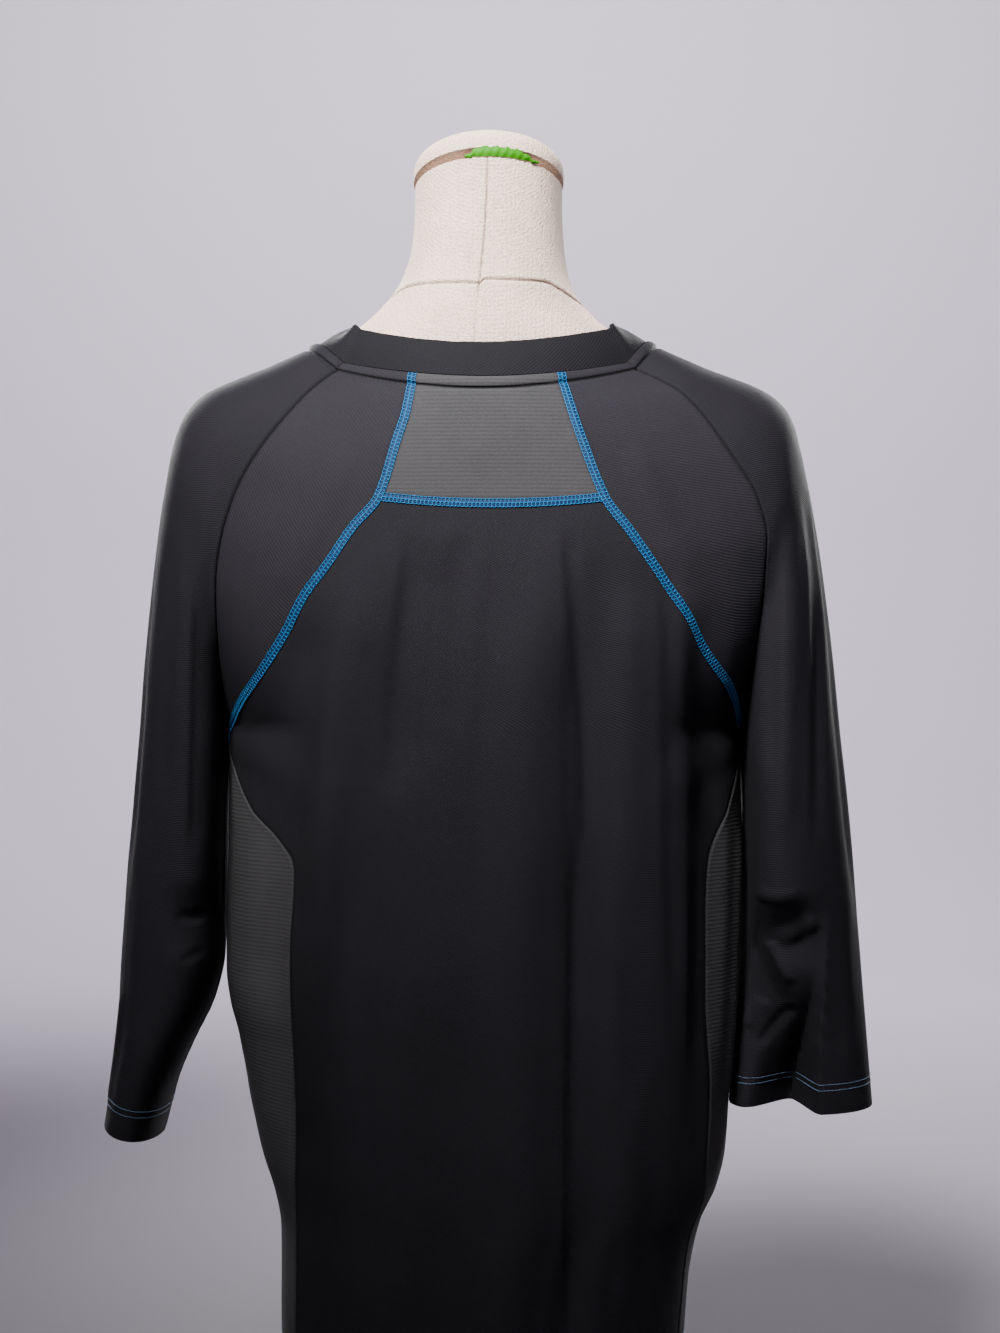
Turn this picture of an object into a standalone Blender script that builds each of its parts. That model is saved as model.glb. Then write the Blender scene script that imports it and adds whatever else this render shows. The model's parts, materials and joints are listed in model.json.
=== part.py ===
"""Athletic raglan top with three-quarter sleeves, on a limbless dress form with a low round stand.

Sizes are in metres and heights are above the table that the stand rests on. +Z is up, the
wearer's back faces +Y and the wearer's left is +X. The cloth's outer face is worked out from
sections: a section has a level, 0 at the neck seam, 1 at the underarm and 2 at the hem or cuff.
"""

import math

import bpy
import numpy as np

# Cloth
WALL = 0.0015  # knit cloth, a little over its real thickness
HEM_WALL = 0.0024  # where a hem is turned up and the cloth lies double
SEAM_GAP = 0.0003  # between two pieces along a seam
COLLAR_WIDTH_STEPS = 3
COLLAR_WALL = 0.0021

# Levels
YOKE_LEVEL = 0.36  # where the mesh yoke ends at the centre back
ARMHOLE_END = 0.96  # below this the sleeve and the body part company
TIP_LEVEL = 0.985  # where the shoulder-blade panel runs out to a point

# Dress form and stand
NECK_TOP = 1.0568  # height of the neck's sloping top face at its centre
CAP_TILT = math.radians(15.5)  # the cap rises to the back more steeply than the neck does
CAP_RADIUS = 0.0566
CAP_HEIGHT = 0.0195
FORM_BOTTOM = 0.262
POLE_RADIUS = 0.016
FLANGE_RADIUS = 0.034
FLANGE_HEIGHT = 0.012
BASE_RADIUS = 0.155
BASE_HEIGHT = 0.012
REST_GAP = 0.0003  # between two hard pieces that touch
FORM_STEPS = 28  # points round the dress form
TURNED_STEPS = 40  # points round the cap, the pole and the base

# Colours: linear RGB, roughness, metallic
FINISHES = {
    "black_knit": ((0.020, 0.019, 0.022), 0.75, 0.0),
    "black_rib": ((0.024, 0.023, 0.026), 0.85, 0.0),
    "grey_mesh": ((0.060, 0.058, 0.058), 0.80, 0.0),
    "form_linen": ((0.640, 0.570, 0.490), 0.90, 0.0),
    "stand_steel": ((0.030, 0.030, 0.032), 0.35, 0.9),
}

LEFT, RIGHT = 1, -1


class Sections:
    """A short table of sections: a row for each level, with named columns, read as smooth curves."""

    def __init__(self, columns, rows):
        table = np.array(rows, float).T
        self.level = table[0]
        self.values = dict(zip(columns.split()[1:], table[1:]))

    def __call__(self, column, level):
        """The column at any level, on a cubic curve through the rows that never overshoots them."""
        knots, values = self.level, self.values[column]
        step = np.diff(knots)
        pitch = np.diff(values) / step
        before, after = pitch[:-1], pitch[1:]
        near, far = step[:-1] + 2 * step[1:], 2 * step[:-1] + step[1:]
        turns = before * after <= 0
        mean = (near + far) / (far / np.where(turns, 1, before) + near / np.where(turns, 1, after))
        slope = np.concatenate([pitch[:1], np.where(turns, 0, mean), pitch[-1:]])
        level = np.clip(level, knots[0], knots[-1])
        row = np.clip(np.searchsorted(knots, level, side="right") - 1, 0, len(step) - 1)
        width = step[row]
        t = (level - knots[row]) / width
        return (
            (1 + 2 * t) * (1 - t) ** 2 * values[row]
            + t * (1 - t) ** 2 * width * slope[row]
            + t * t * (3 - 2 * t) * values[row + 1]
            + t * t * (t - 1) * width * slope[row + 1]
        )


# A sleeve's section is an ellipse that stays open at the raglan seam above the underarm. The
# seam is where the ellipse ends: at its inner line, below level 1, it is the underarm seam.
SLEEVE_COLUMNS = "level outer_x outer_z seam_x back_z front_z back_depth front_depth open_angle lean"
SLEEVES = {
    LEFT: Sections(
        SLEEVE_COLUMNS,
        [
            (0.00, 0.1280, 0.9410, 0.1052, 0.9200, 0.9070, 0.0583, 0.0690, 60, 0.00),
            (0.13, 0.1630, 0.9250, 0.1325, 0.8940, 0.8830, 0.0793, 0.0800, 68, 0.00),
            (0.33, 0.2125, 0.9040, 0.1684, 0.8465, 0.8380, 0.0863, 0.0850, 80, 0.00),
            (0.43, 0.2290, 0.8860, 0.1826, 0.8180, 0.8110, 0.0853, 0.0845, 85, 0.05),
            (0.54, 0.2375, 0.8610, 0.1911, 0.7897, 0.7840, 0.0830, 0.0825, 92, 0.10),
            (0.64, 0.2430, 0.8330, 0.1953, 0.7610, 0.7570, 0.0790, 0.0790, 102, 0.16),
            (0.76, 0.2485, 0.7950, 0.1960, 0.7280, 0.7260, 0.0765, 0.0765, 122, 0.24),
            (0.88, 0.2535, 0.7500, 0.1962, 0.6920, 0.6910, 0.0755, 0.0755, 148, 0.32),
            (0.95, 0.2575, 0.7100, 0.1960, 0.6690, 0.6690, 0.0750, 0.0750, 166, 0.38),
            (1.00, 0.2605, 0.6700, 0.1958, 0.6520, 0.6520, 0.0745, 0.0745, 180, 0.40),
            (1.20, 0.2660, 0.6080, 0.1986, 0.5960, 0.5960, 0.0725, 0.0725, 180, 0.42),
            (1.40, 0.2712, 0.5480, 0.2000, 0.5400, 0.5400, 0.0700, 0.0700, 180, 0.40),
            (1.60, 0.2754, 0.4880, 0.2008, 0.4830, 0.4830, 0.0680, 0.0670, 180, 0.30),
            (1.70, 0.2772, 0.4550, 0.2070, 0.4520, 0.4520, 0.0660, 0.0650, 180, 0.22),
            (1.80, 0.2792, 0.4220, 0.2222, 0.4200, 0.4200, 0.0635, 0.0630, 180, 0.15),
            (1.90, 0.2826, 0.3920, 0.2358, 0.3860, 0.3870, 0.0605, 0.0600, 180, 0.08),
            (2.00, 0.2868, 0.3620, 0.2442, 0.3520, 0.3540, 0.0580, 0.0580, 180, 0.00),
        ],
    ),
    RIGHT: Sections(
        SLEEVE_COLUMNS,
        [
            (0.00, 0.1170, 0.9430, 0.0990, 0.9200, 0.9070, 0.0583, 0.0690, 60, 0.00),
            (0.13, 0.1550, 0.9252, 0.1400, 0.8940, 0.8830, 0.0793, 0.0800, 68, 0.00),
            (0.33, 0.2090, 0.9032, 0.1745, 0.8465, 0.8380, 0.0863, 0.0850, 80, 0.05),
            (0.43, 0.2250, 0.8860, 0.1910, 0.8180, 0.8110, 0.0853, 0.0845, 85, 0.10),
            (0.54, 0.2320, 0.8620, 0.1975, 0.7897, 0.7840, 0.0830, 0.0825, 92, 0.15),
            (0.64, 0.2385, 0.8330, 0.1964, 0.7610, 0.7570, 0.0790, 0.0790, 102, 0.22),
            (0.76, 0.2450, 0.7950, 0.1935, 0.7280, 0.7260, 0.0770, 0.0765, 122, 0.32),
            (0.88, 0.2515, 0.7500, 0.1905, 0.6920, 0.6910, 0.0770, 0.0755, 148, 0.42),
            (0.95, 0.2560, 0.7100, 0.1892, 0.6690, 0.6690, 0.0765, 0.0750, 166, 0.46),
            (1.00, 0.2600, 0.6700, 0.1886, 0.6520, 0.6520, 0.0760, 0.0745, 180, 0.48),
            (1.20, 0.2670, 0.6080, 0.1908, 0.5960, 0.5960, 0.0750, 0.0725, 180, 0.50),
            (1.40, 0.2725, 0.5480, 0.1910, 0.5440, 0.5440, 0.0730, 0.0700, 180, 0.45),
            (1.60, 0.2775, 0.4880, 0.1900, 0.4860, 0.4860, 0.0620, 0.0670, 180, 0.25),
            (1.80, 0.2822, 0.4290, 0.1856, 0.4290, 0.4290, 0.0520, 0.0640, 180, 0.10),
            (2.00, 0.2868, 0.3730, 0.1800, 0.3730, 0.3730, 0.0460, 0.0600, 180, 0.00),
        ],
    ),
}

# The body's section: centre back, centre front, and how full the curve between seam and centre is.
BODY = Sections(
    "level back_y back_z front_y front_z power bend front_drop",
    [
        (0.00, 0.0950, 0.9046, -0.1080, 0.8500, 2.2, 1.00, 0.70),
        (0.18, 0.1075, 0.8600, -0.1180, 0.8190, 2.2, 1.00, 0.85),
        (0.36, 0.1165, 0.8133, -0.1270, 0.7860, 2.2, 1.00, 1.00),
        (0.54, 0.1235, 0.7690, -0.1340, 0.7500, 2.2, 0.90, 1.00),
        (0.76, 0.1275, 0.7120, -0.1390, 0.7040, 2.3, 0.71, 1.00),
        (0.88, 0.1285, 0.6820, -0.1405, 0.6780, 2.35, 0.62, 1.00),
        (1.00, 0.1285, 0.6520, -0.1415, 0.6520, 2.4, 0.555, 1.00),
        (1.15, 0.1268, 0.5820, -0.1414, 0.5820, 2.4, 0.51, 1.00),
        (1.30, 0.1245, 0.5119, -0.1410, 0.5119, 2.4, 0.50, 1.00),
        (1.60, 0.1230, 0.3718, -0.1395, 0.3718, 2.3, 0.50, 1.00),
        (2.00, 0.1290, 0.1850, -0.1420, 0.1850, 2.2, 0.50, 1.00),
    ],
)

# Round the underarm point the body takes this depth at its side, and bends to the seam only
# close to it.
UNDERARM = Sections(
    "level depth",
    [(0.76, 0.0649), (0.88, 0.0470), (1.00, 0.0290), (1.15, 0.0125), (1.30, 0.0030), (1.45, 0.0)],
)

# Below the underarm the body's two sides hang to their own lines and draw in towards the hem.
SIDES = Sections(
    "level left right",
    [
        (1.00, 0.1954, 0.1882),
        (1.15, 0.1958, 0.1880),
        (1.30, 0.1972, 0.1862),
        (1.38, 0.1970, 0.1846),
        (1.43, 0.1942, 0.1832),
        (1.48, 0.1882, 0.1812),
        (1.55, 0.1822, 0.1788),
        (1.67, 0.1700, 0.1750),
        (1.73, 0.1612, 0.1680),
        (1.78, 0.1570, 0.1570),
        (1.84, 0.1562, 0.1500),
        (1.92, 0.1560, 0.1464),
        (2.00, 0.1558, 0.1436),
    ],
)

# How far out the back's seams cross a section: the contrast seam above the underarm, the side
# panel's seam below it.
CONTRAST_SEAM = Sections(
    "level left right",
    [
        (0.00, 0.0538, 0.0498),
        (0.12, 0.0585, 0.0585),
        (0.20, 0.0645, 0.0650),
        (0.36, 0.0772, 0.0805),
        (0.45, 0.0950, 0.0965),
        (0.55, 0.1110, 0.1130),
        (0.65, 0.1300, 0.1295),
        (0.75, 0.1445, 0.1465),
        (0.85, 0.1608, 0.1645),
        (0.93, 0.1790, 0.1780),
        (1.00, 0.1945, 0.1872),
    ],
)
SIDE_SEAM = Sections(
    "level left right",
    [
        (1.00, 0.1954, 0.1882),
        (1.03, 0.1936, 0.1868),
        (1.08, 0.1838, 0.1805),
        (1.12, 0.1712, 0.1735),
        (1.157, 0.1556, 0.1660),
        (1.195, 0.1426, 0.1610),
        (1.215, 0.1410, 0.1600),
        (1.27, 0.1400, 0.1590),
        (1.50, 0.1358, 0.1592),
        (1.70, 0.1392, 0.1560),
        (1.80, 0.1400, 0.1440),
        (2.00, 0.1398, 0.1350),
    ],
)

# Folds of the body: the angle at which each starts and ends (0 centre back, 90 the wearer's left,
# 180 centre front), the levels it runs between, its half width in degrees and its height.
BODY_FOLDS = [
    # start, end, from, to, width, height
    (24, 44, 0.45, 1.66, 5.5, 0.0055),
    (38, 56, 0.62, 1.45, 6.0, -0.0050),
    (-10, -5, 0.38, 2.20, 5.0, 0.0060),
    (-22, -24, 0.40, 2.20, 4.0, -0.0060),
    (-38, -46, 0.55, 1.75, 6.5, 0.0045),
    (-52, -60, 0.60, 1.55, 5.5, -0.0045),
    (10, 16, 0.45, 1.10, 4.5, -0.0030),
    (8, 14, 1.35, 2.20, 7.0, -0.0040),
    (172, 176, 0.45, 2.20, 6.0, 0.0055),
    (152, 148, 0.55, 2.20, 6.0, -0.0060),
    (130, 126, 0.75, 2.10, 7.0, 0.0060),
    (-148, -152, 0.40, 2.20, 6.5, 0.0060),
    (-165, -166, 0.50, 2.20, 5.0, -0.0050),
    (-128, -124, 0.75, 1.90, 7.0, -0.0055),
]

# The collar band leans in and stands up from the neck seam: amounts at the back, side and front.
COLLAR = {"back": (0.0130, 0.0265), "side": (0.0265, 0.0140), "front": (0.0175, 0.0215)}

# The dress form's sections, counted from the neck's top down: half width, where its middle is,
# the heights and depths of its side, back and front, and how the side falls to them.
FORM = Sections(
    "level half middle side_z back_y back_z front_y front_z fall",
    [
        (0.0, 0.0552, 0.0010, NECK_TOP, 0.0570, NECK_TOP + 0.0120, -0.0550, NECK_TOP - 0.0116, 1.00),
        (1.0, 0.0554, 0.0010, 1.0380, 0.0575, 1.0470, -0.0555, 1.0290, 1.00),
        (2.0, 0.0574, 0.0015, 1.0120, 0.0600, 1.0170, -0.0580, 1.0000, 1.00),
        (3.0, 0.0620, 0.0030, 0.9930, 0.0640, 0.9880, -0.0620, 0.9690, 1.05),
        (4.0, 0.0700, 0.0045, 0.9770, 0.0695, 0.9640, -0.0690, 0.9300, 1.10),
        (5.0, 0.0860, 0.0055, 0.9600, 0.0745, 0.9400, -0.0775, 0.8930, 1.15),
        (6.0, 0.1020, 0.0050, 0.9485, 0.0780, 0.9170, -0.0840, 0.8600, 1.20),
        (7.0, 0.1300, 0.0032, 0.9360, 0.0860, 0.8850, -0.0930, 0.8300, 1.30),
        (8.0, 0.1600, 0.0040, 0.9228, 0.0940, 0.8500, -0.1030, 0.8000, 1.35),
        (9.0, 0.1780, 0.0020, 0.9125, 0.1010, 0.8150, -0.1110, 0.7700, 1.40),
        (10.0, 0.1870, 0.0010, 0.8960, 0.1060, 0.7800, -0.1170, 0.7400, 1.40),
        (11.0, 0.1880, 0.0, 0.8600, 0.1100, 0.7450, -0.1210, 0.7100, 1.40),
        (12.0, 0.1840, 0.0, 0.8000, 0.1110, 0.7050, -0.1230, 0.6800, 1.40),
        (13.0, 0.1720, 0.0, 0.6900, 0.1080, 0.6450, -0.1200, 0.6300, 1.30),
        (14.0, 0.1520, 0.0, 0.5950, 0.0960, 0.5800, -0.1090, 0.5750, 1.20),
        (15.0, 0.1370, 0.0, 0.5200, 0.0870, 0.5150, -0.0990, 0.5150, 1.00),
        (16.0, 0.1330, 0.0, 0.4500, 0.0890, 0.4500, -0.0980, 0.4500, 1.00),
        (17.0, 0.1370, 0.0, 0.3800, 0.0990, 0.3800, -0.1010, 0.3800, 1.00),
        (18.0, 0.1390, 0.0, 0.3200, 0.1030, 0.3200, -0.1010, 0.3200, 1.00),
        (19.0, 0.1365, 0.0, 0.2750, 0.1010, 0.2750, -0.0980, 0.2750, 1.00),
        (20.0, 0.1290, 0.0, FORM_BOTTOM, 0.0930, FORM_BOTTOM, -0.0900, FORM_BOTTOM, 1.00),
    ],
)

# The sections at which every panel has a row of points
UPPER_LEVELS = [0, 0.08, 0.17, 0.27, YOKE_LEVEL, 0.41, 0.46, 0.54]
UPPER_LEVELS += [0.63, 0.73, 0.82, 0.89, 0.945, TIP_LEVEL, 1]
LOWER_LEVELS = [1.012, 1.04, 1.075, 1.11, 1.15, 1.195, 1.24, 1.3]
LOWER_LEVELS += [1.38, 1.47, 1.56, 1.65, 1.73, 1.81, 1.89]
HEM_LEVELS = [1.95, 2]


def sleeve_face(side, level, turn):
    """Points of a sleeve's outer face. Turn is -1 at the front seam, 0 outside and 1 at the back seam."""
    rows = SLEEVES[side]
    opening = np.radians(rows("open_angle", level))
    angle = turn * opening
    outer, seam = rows("outer_x", level), rows("seam_x", level)
    radius = (outer - seam) / (1 - np.cos(opening))
    share = (1 - np.cos(angle)) / (1 - np.cos(opening))
    lean = rows("lean", level) * radius * (np.sin(angle) ** 2 - share * np.sin(opening) ** 2)
    x = outer - radius * (1 - np.cos(angle)) - lean
    depth = np.where(angle > 0, rows("back_depth", level), rows("front_depth", level))
    y = depth * np.sin(angle)
    seam_z = np.where(angle > 0, rows("back_z", level), rows("front_z", level))
    z = rows("outer_z", level) + (seam_z - rows("outer_z", level)) * share
    y = y - np.where(angle > 0, sleeve_dents(side, level, (outer - x) / (outer - seam)), 0)
    return np.stack(np.broadcast_arrays(side * x, y, z), axis=-1)


def hump(value, middle, width):
    """A smooth hump of height 1 that is gone one width away from its middle."""
    t = np.clip(np.abs(value - middle) / width, 0, 1)
    return (1 - t * t) ** 2


def rise(value, start, end):
    """0 before start, 1 after end, and smooth between."""
    t = np.clip((value - start) / (end - start), 0, 1)
    return t * t * (3 - 2 * t)


def sleeve_dents(side, level, inward):
    """How far the empty sleeve's back is pushed in below the elbow. Inward is 0 outside, 1 inside."""
    if side == LEFT:
        return 0.009 * hump(inward, 0.85, 0.40) * hump(level, 1.49, 0.11)
    # The outer part hangs over an edge; behind it the cloth falls in below the elbow and lies
    # on a shelf that a diagonal line breaks. The shelf runs out into a deep valley at the cuff.
    edge = 0.37 + 0.12 * rise(level, 1.45, 2.0)
    fallen = rise(level, 1.44, 1.49) * rise(inward, edge - 0.04, edge + 0.06)
    diagonal = np.maximum(0.63, 0.89 - 1.8 * (level - 1.557))
    shelf = 0.019 - 0.010 * rise(level, 1.49, 1.64) + 0.008 * rise(inward, diagonal - 0.02, diagonal + 0.12)
    shelf = shelf * (1 - rise(inward, 0.86, 1))
    valley = 0.058 * hump(inward, edge, 1 - edge)
    share = rise(level, 1.62, 2.0)
    return fallen * (shelf + (valley - shelf) * share)


def body_edges(level, front):
    """Where the body's section starts and ends: the raglan seams, or the side lines below the underarm."""
    edges = []
    for side, column in ((LEFT, "left"), (RIGHT, "right")):
        seam = sleeve_face(side, np.minimum(level, 1), np.where(front, -1.0, 1.0))
        x = np.where(level > 1, SIDES(column, level), np.abs(seam[..., 0]) - SEAM_GAP * 1.4)
        y = np.where(level > 1, 0.0, seam[..., 1])
        z = np.where(level > 1, BODY("back_z", level), seam[..., 2])
        edges.append((x, y, z))
    return edges


def body_face(level, angle, folded=True):
    """Points of the body's outer face. Angle is 0 in the back, 90 at the wearer's left, 180 in front."""
    level, angle = np.broadcast_arrays(np.asarray(level, float), np.asarray(angle, float))
    front = np.abs(angle) > 90
    (left_x, left_y, left_z), (right_x, right_y, right_z) = body_edges(level, front)
    across = np.sin(np.radians(angle))
    full = 1 - np.abs(across) ** BODY("power", level)
    curve = np.clip(full, 0, 1) ** BODY("bend", level)
    x = (left_x - right_x) / 2 + across * (left_x + right_x) / 2
    edge_y = (left_y + right_y) / 2 + across * (left_y - right_y) / 2
    edge_z = (left_z + right_z) / 2 + across * (left_z - right_z) / 2
    centre_y = np.where(front, BODY("front_y", level), BODY("back_y", level))
    centre_z = np.where(front, BODY("front_z", level), BODY("back_z", level))
    drop = np.where(front, BODY("front_drop", level), 1.0)
    soft_y = np.where(level > UNDERARM.level[0], np.where(front, -1, 1) * UNDERARM("depth", level), edge_y)
    y = soft_y + (centre_y - soft_y) * curve + (edge_y - soft_y) * rise(np.abs(across), 0.6, 1)
    z = edge_z + (centre_z - edge_z) * np.clip(1 - across**2, 0, 1) ** drop
    if folded:
        height = body_folds(level, angle)
        x = x + height * across
        y = y + height * np.cos(np.radians(angle))
    return np.stack([x, y, z], axis=-1)


def body_folds(level, angle):
    """The height of the folds, which die out at the raglan seams, the neck and the side lines."""
    height = np.zeros(np.shape(level))
    for start, end, first, last, width, size in BODY_FOLDS:
        along = np.clip((level - first) / (last - first), 0, 1)
        middle = start + (end - start) * along
        strength = rise(along, 0, 0.25) * (1 - rise(along, 0.85, 1))
        away = (angle - middle + 180) % 360 - 180
        height += size * strength * hump(away, 0, 2 * width)
    from_side = np.abs(np.abs(angle) - 90)
    return height * rise(from_side, 0, 28)


def normals_of(face, level, across, step=(0.004, 0.4)):
    """Unit normals of a face by differences, pointing out of the garment."""
    low = np.maximum(level - step[0], 0)
    high = np.minimum(level + step[0], 2)
    down = face(high, across) - face(low, across)
    round_it = face(level, across + step[1]) - face(level, across - step[1])
    normal = np.cross(round_it, down)
    return normal / np.linalg.norm(normal, axis=-1, keepdims=True)


def body_normals(level, angle):
    """Outward normals of the body, taken just inside its sector at a raglan seam."""
    face_side = np.where(np.abs(angle) > 90, 1.0, -1.0) * np.sign(angle)
    near = (np.abs(np.abs(angle) - 90) < 1.0) & (level < 1)
    inner = np.where(near, angle + face_side * (1.0 - np.abs(np.abs(angle) - 90)), angle)
    return normals_of(body_face, level, inner, (0.004, 0.4))


def sleeve_normals(side, level, turn):
    """Outward normals of a sleeve, taken just inside its edge."""
    inside = np.clip(turn, -0.99, 0.99)
    normal = normals_of(lambda a, b: sleeve_face(side, a, b), level, inside, (0.004, 0.006))
    return -normal * side


def seam_normals(side, level, front):
    """The normal that the sleeve and the body share along a raglan seam."""
    end = -1.0 if front else 1.0
    angle = side * (91.0 if front else 89.0)
    both = sleeve_normals(side, level, np.full_like(level, end))
    both = both + body_normals(level, np.full_like(level, angle))
    both[..., 1] += -0.05 if front else 0.05
    return both / np.linalg.norm(both, axis=-1, keepdims=True)


def seam_angle(side, level, seam, front=False):
    """The angle round the body's section at which a seam with a given x crosses it."""
    (left_x, _, _), (right_x, _, _) = body_edges(level, np.full(np.shape(level), front))
    x = side * seam("left" if side == LEFT else "right", level)
    across = (x - (left_x - right_x) / 2) / ((left_x + right_x) / 2)
    angle = np.degrees(np.arcsin(np.clip(across, -1, 1)))
    return side * 180 - angle if front else angle


def beside(level, angle, towards, gap=SEAM_GAP / 2):
    """The angle moved by half a seam's gap along the section."""
    step = 0.5
    length = np.linalg.norm(body_face(level, angle + towards * step) - body_face(level, angle), axis=-1)
    return angle + towards * step * gap / np.maximum(length, 1e-5)


def column_share(columns):
    """Even steps from 0 to 1."""
    return np.linspace(0, 1, columns + 1)


def spread(first, last, columns):
    """Angles from first to last at each level. A wide panel's columns keep closer to its middle."""
    middle, half = (first + last)[:, None] / 2, (last - first)[:, None] / 2
    step = 2 * column_share(columns) - 1
    core = np.minimum(1, 44 / np.abs(half))
    return middle + half * step * (core + (1 - core) * np.abs(step) ** 2.5)


def wall_thickness(level):
    """Double at a hem, where the cloth is turned up."""
    return WALL + (HEM_WALL - WALL) * rise(level, 1.93, 1.96)


def new_material(piece, finish):
    """The piece's own Principled material, with the finish's colour, roughness and metallic value."""
    material = bpy.data.materials.new(f"{piece}_{finish}")
    material.use_nodes = True
    colour, roughness, metallic = FINISHES[finish]
    shader = material.node_tree.nodes["Principled BSDF"]
    shader.inputs["Base Color"].default_value = (*colour, 1)
    shader.inputs["Roughness"].default_value = roughness
    shader.inputs["Metallic"].default_value = metallic
    return material


def new_object(name, points, faces, finish):
    """A smooth-shaded mesh object at the origin, with its own material."""
    mesh = bpy.data.meshes.new(name)
    mesh.from_pydata([tuple(p) for p in points], [], faces)
    mesh.materials.append(new_material(name, finish))
    mesh.shade_smooth()
    mesh.set_sharp_from_angle(angle=math.radians(40))
    made = bpy.data.objects.new(name, mesh)
    bpy.context.scene.collection.objects.link(made)
    return made


def sheet_faces(rows, columns, flip):
    """Quads of a wall whose outer grid comes first and inner grid second, with its rim."""
    count = rows * columns
    faces = []
    for i in range(rows - 1):
        for j in range(columns - 1):
            a, b = i * columns + j, (i + 1) * columns + j
            faces.append((a, b, b + 1, a + 1))
            faces.append((count + a, count + a + 1, count + b + 1, count + b))
    rim = list(range(columns))
    rim += [i * columns + columns - 1 for i in range(1, rows)]
    rim += [(rows - 1) * columns + j for j in range(columns - 2, -1, -1)]
    rim += [i * columns for i in range(rows - 2, 0, -1)]
    for a, b in zip(rim, rim[1:] + rim[:1]):
        faces.append((a, b, count + b, count + a))
    return [face[::-1] for face in faces] if flip else faces


def wall(name, outer, normals, thickness, finish):
    """A closed wall: the outer grid of points, and the same grid moved in along the normals."""
    rows, columns = outer.shape[:2]
    inner = outer - normals * thickness[..., None]
    points = np.concatenate([outer.reshape(-1, 3), inner.reshape(-1, 3)])
    across = outer[rows // 2, columns // 2 + 1] - outer[rows // 2, columns // 2]
    down = outer[rows // 2 + 1, columns // 2] - outer[rows // 2, columns // 2]
    out = np.dot(np.cross(down, across), normals[rows // 2, columns // 2]) > 0
    return new_object(name, points, sheet_faces(rows, columns, not out), finish)


def body_panel(name, levels, first, last, columns, finish, raglan=()):
    """A panel of the body between two seams, each an angle at each level.

    Raglan names the columns that meet a sleeve, each with its side and whether it is in front.
    """
    levels = np.array(levels, float)
    angles = spread(first, last, columns)
    grid = np.broadcast_to(levels[:, None], angles.shape)
    normals = body_normals(grid, angles)
    for column, side, front in raglan:
        upper = levels < ARMHOLE_END
        normals[upper, column] = seam_normals(side, levels[upper], front)
    return wall(name, body_face(grid, angles), normals, wall_thickness(grid), finish)


def shifted(levels, top=True, bottom=False):
    """The levels with half a seam's gap left at the top or bottom seam. The back is 0.25 long."""
    moved = np.array(levels, float)
    step = SEAM_GAP / 2 / 0.25
    moved[0] += step if top else 0
    moved[-1] -= step if bottom else 0
    return moved


def raglan_angle(side, levels, front=False):
    """The angle of the sector's edge at a raglan seam, a hair inside it."""
    return np.full(len(levels), side * (90.02 if front else 89.98))


def back_pieces():
    """The mesh yoke, the two shoulder-blade panels and the centre back."""
    upper = [v for v in UPPER_LEVELS if v <= YOKE_LEVEL]
    levels = shifted(upper, True, True)
    left = beside(levels, seam_angle(LEFT, levels, CONTRAST_SEAM), -1)
    right = beside(levels, seam_angle(RIGHT, levels, CONTRAST_SEAM), 1)
    body_panel("back_yoke", levels, right, left, 8, "grey_mesh")
    levels = shifted([v for v in UPPER_LEVELS if v <= TIP_LEVEL])
    for side, name in ((LEFT, "left"), (RIGHT, "right")):
        inner = beside(levels, seam_angle(side, levels, CONTRAST_SEAM), side)
        outer = raglan_angle(side, levels)
        body_panel(f"shoulder_blade_{name}", levels, inner, outer, 6, "black_knit", [(-1, side, False)])
    levels = shifted([v for v in UPPER_LEVELS if v >= YOKE_LEVEL] + LOWER_LEVELS + HEM_LEVELS)
    edges = {}
    for side in (LEFT, RIGHT):
        above = beside(levels, seam_angle(side, np.minimum(levels, 1), CONTRAST_SEAM), -side)
        tip = beside(levels, np.full(len(levels), side * 89.7), -side)
        below = beside(levels, seam_angle(side, np.maximum(levels, 1), SIDE_SEAM), -side)
        edges[side] = np.where(levels > 1, below, np.where(levels > TIP_LEVEL, tip, above))
    body_panel("back_panel", levels, edges[RIGHT], edges[LEFT], 24, "black_knit")


def front_piece():
    """The front, from the neck to the hem in one piece."""
    levels = shifted(UPPER_LEVELS + LOWER_LEVELS + HEM_LEVELS)
    edges = {}
    for side in (LEFT, RIGHT):
        below = beside(levels, seam_angle(side, np.maximum(levels, 1), SIDE_SEAM, True), side)
        edges[side] = np.where(levels > 1, below, raglan_angle(side, levels, True))
    angles = spread(edges[LEFT], edges[RIGHT] + 360, 22)
    angles = np.where(angles > 180, angles - 360, angles)
    grid = np.broadcast_to(levels[:, None], angles.shape)
    normals = body_normals(grid, angles)
    upper = levels < ARMHOLE_END
    normals[upper, 0] = seam_normals(LEFT, levels[upper], True)
    normals[upper, -1] = seam_normals(RIGHT, levels[upper], True)
    wall("front_panel", body_face(grid, angles), normals, wall_thickness(grid), "black_knit")


def side_pieces():
    """The mesh side panels, which start in a point at the underarm."""
    levels = np.array(LOWER_LEVELS + HEM_LEVELS)
    for side, name in ((LEFT, "left"), (RIGHT, "right")):
        back = beside(levels, seam_angle(side, levels, SIDE_SEAM), side, SEAM_GAP)
        front = beside(levels, seam_angle(side, levels, SIDE_SEAM, True), -side, SEAM_GAP)
        body_panel(f"side_panel_{name}", levels, back, front, 5, "grey_mesh")


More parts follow.
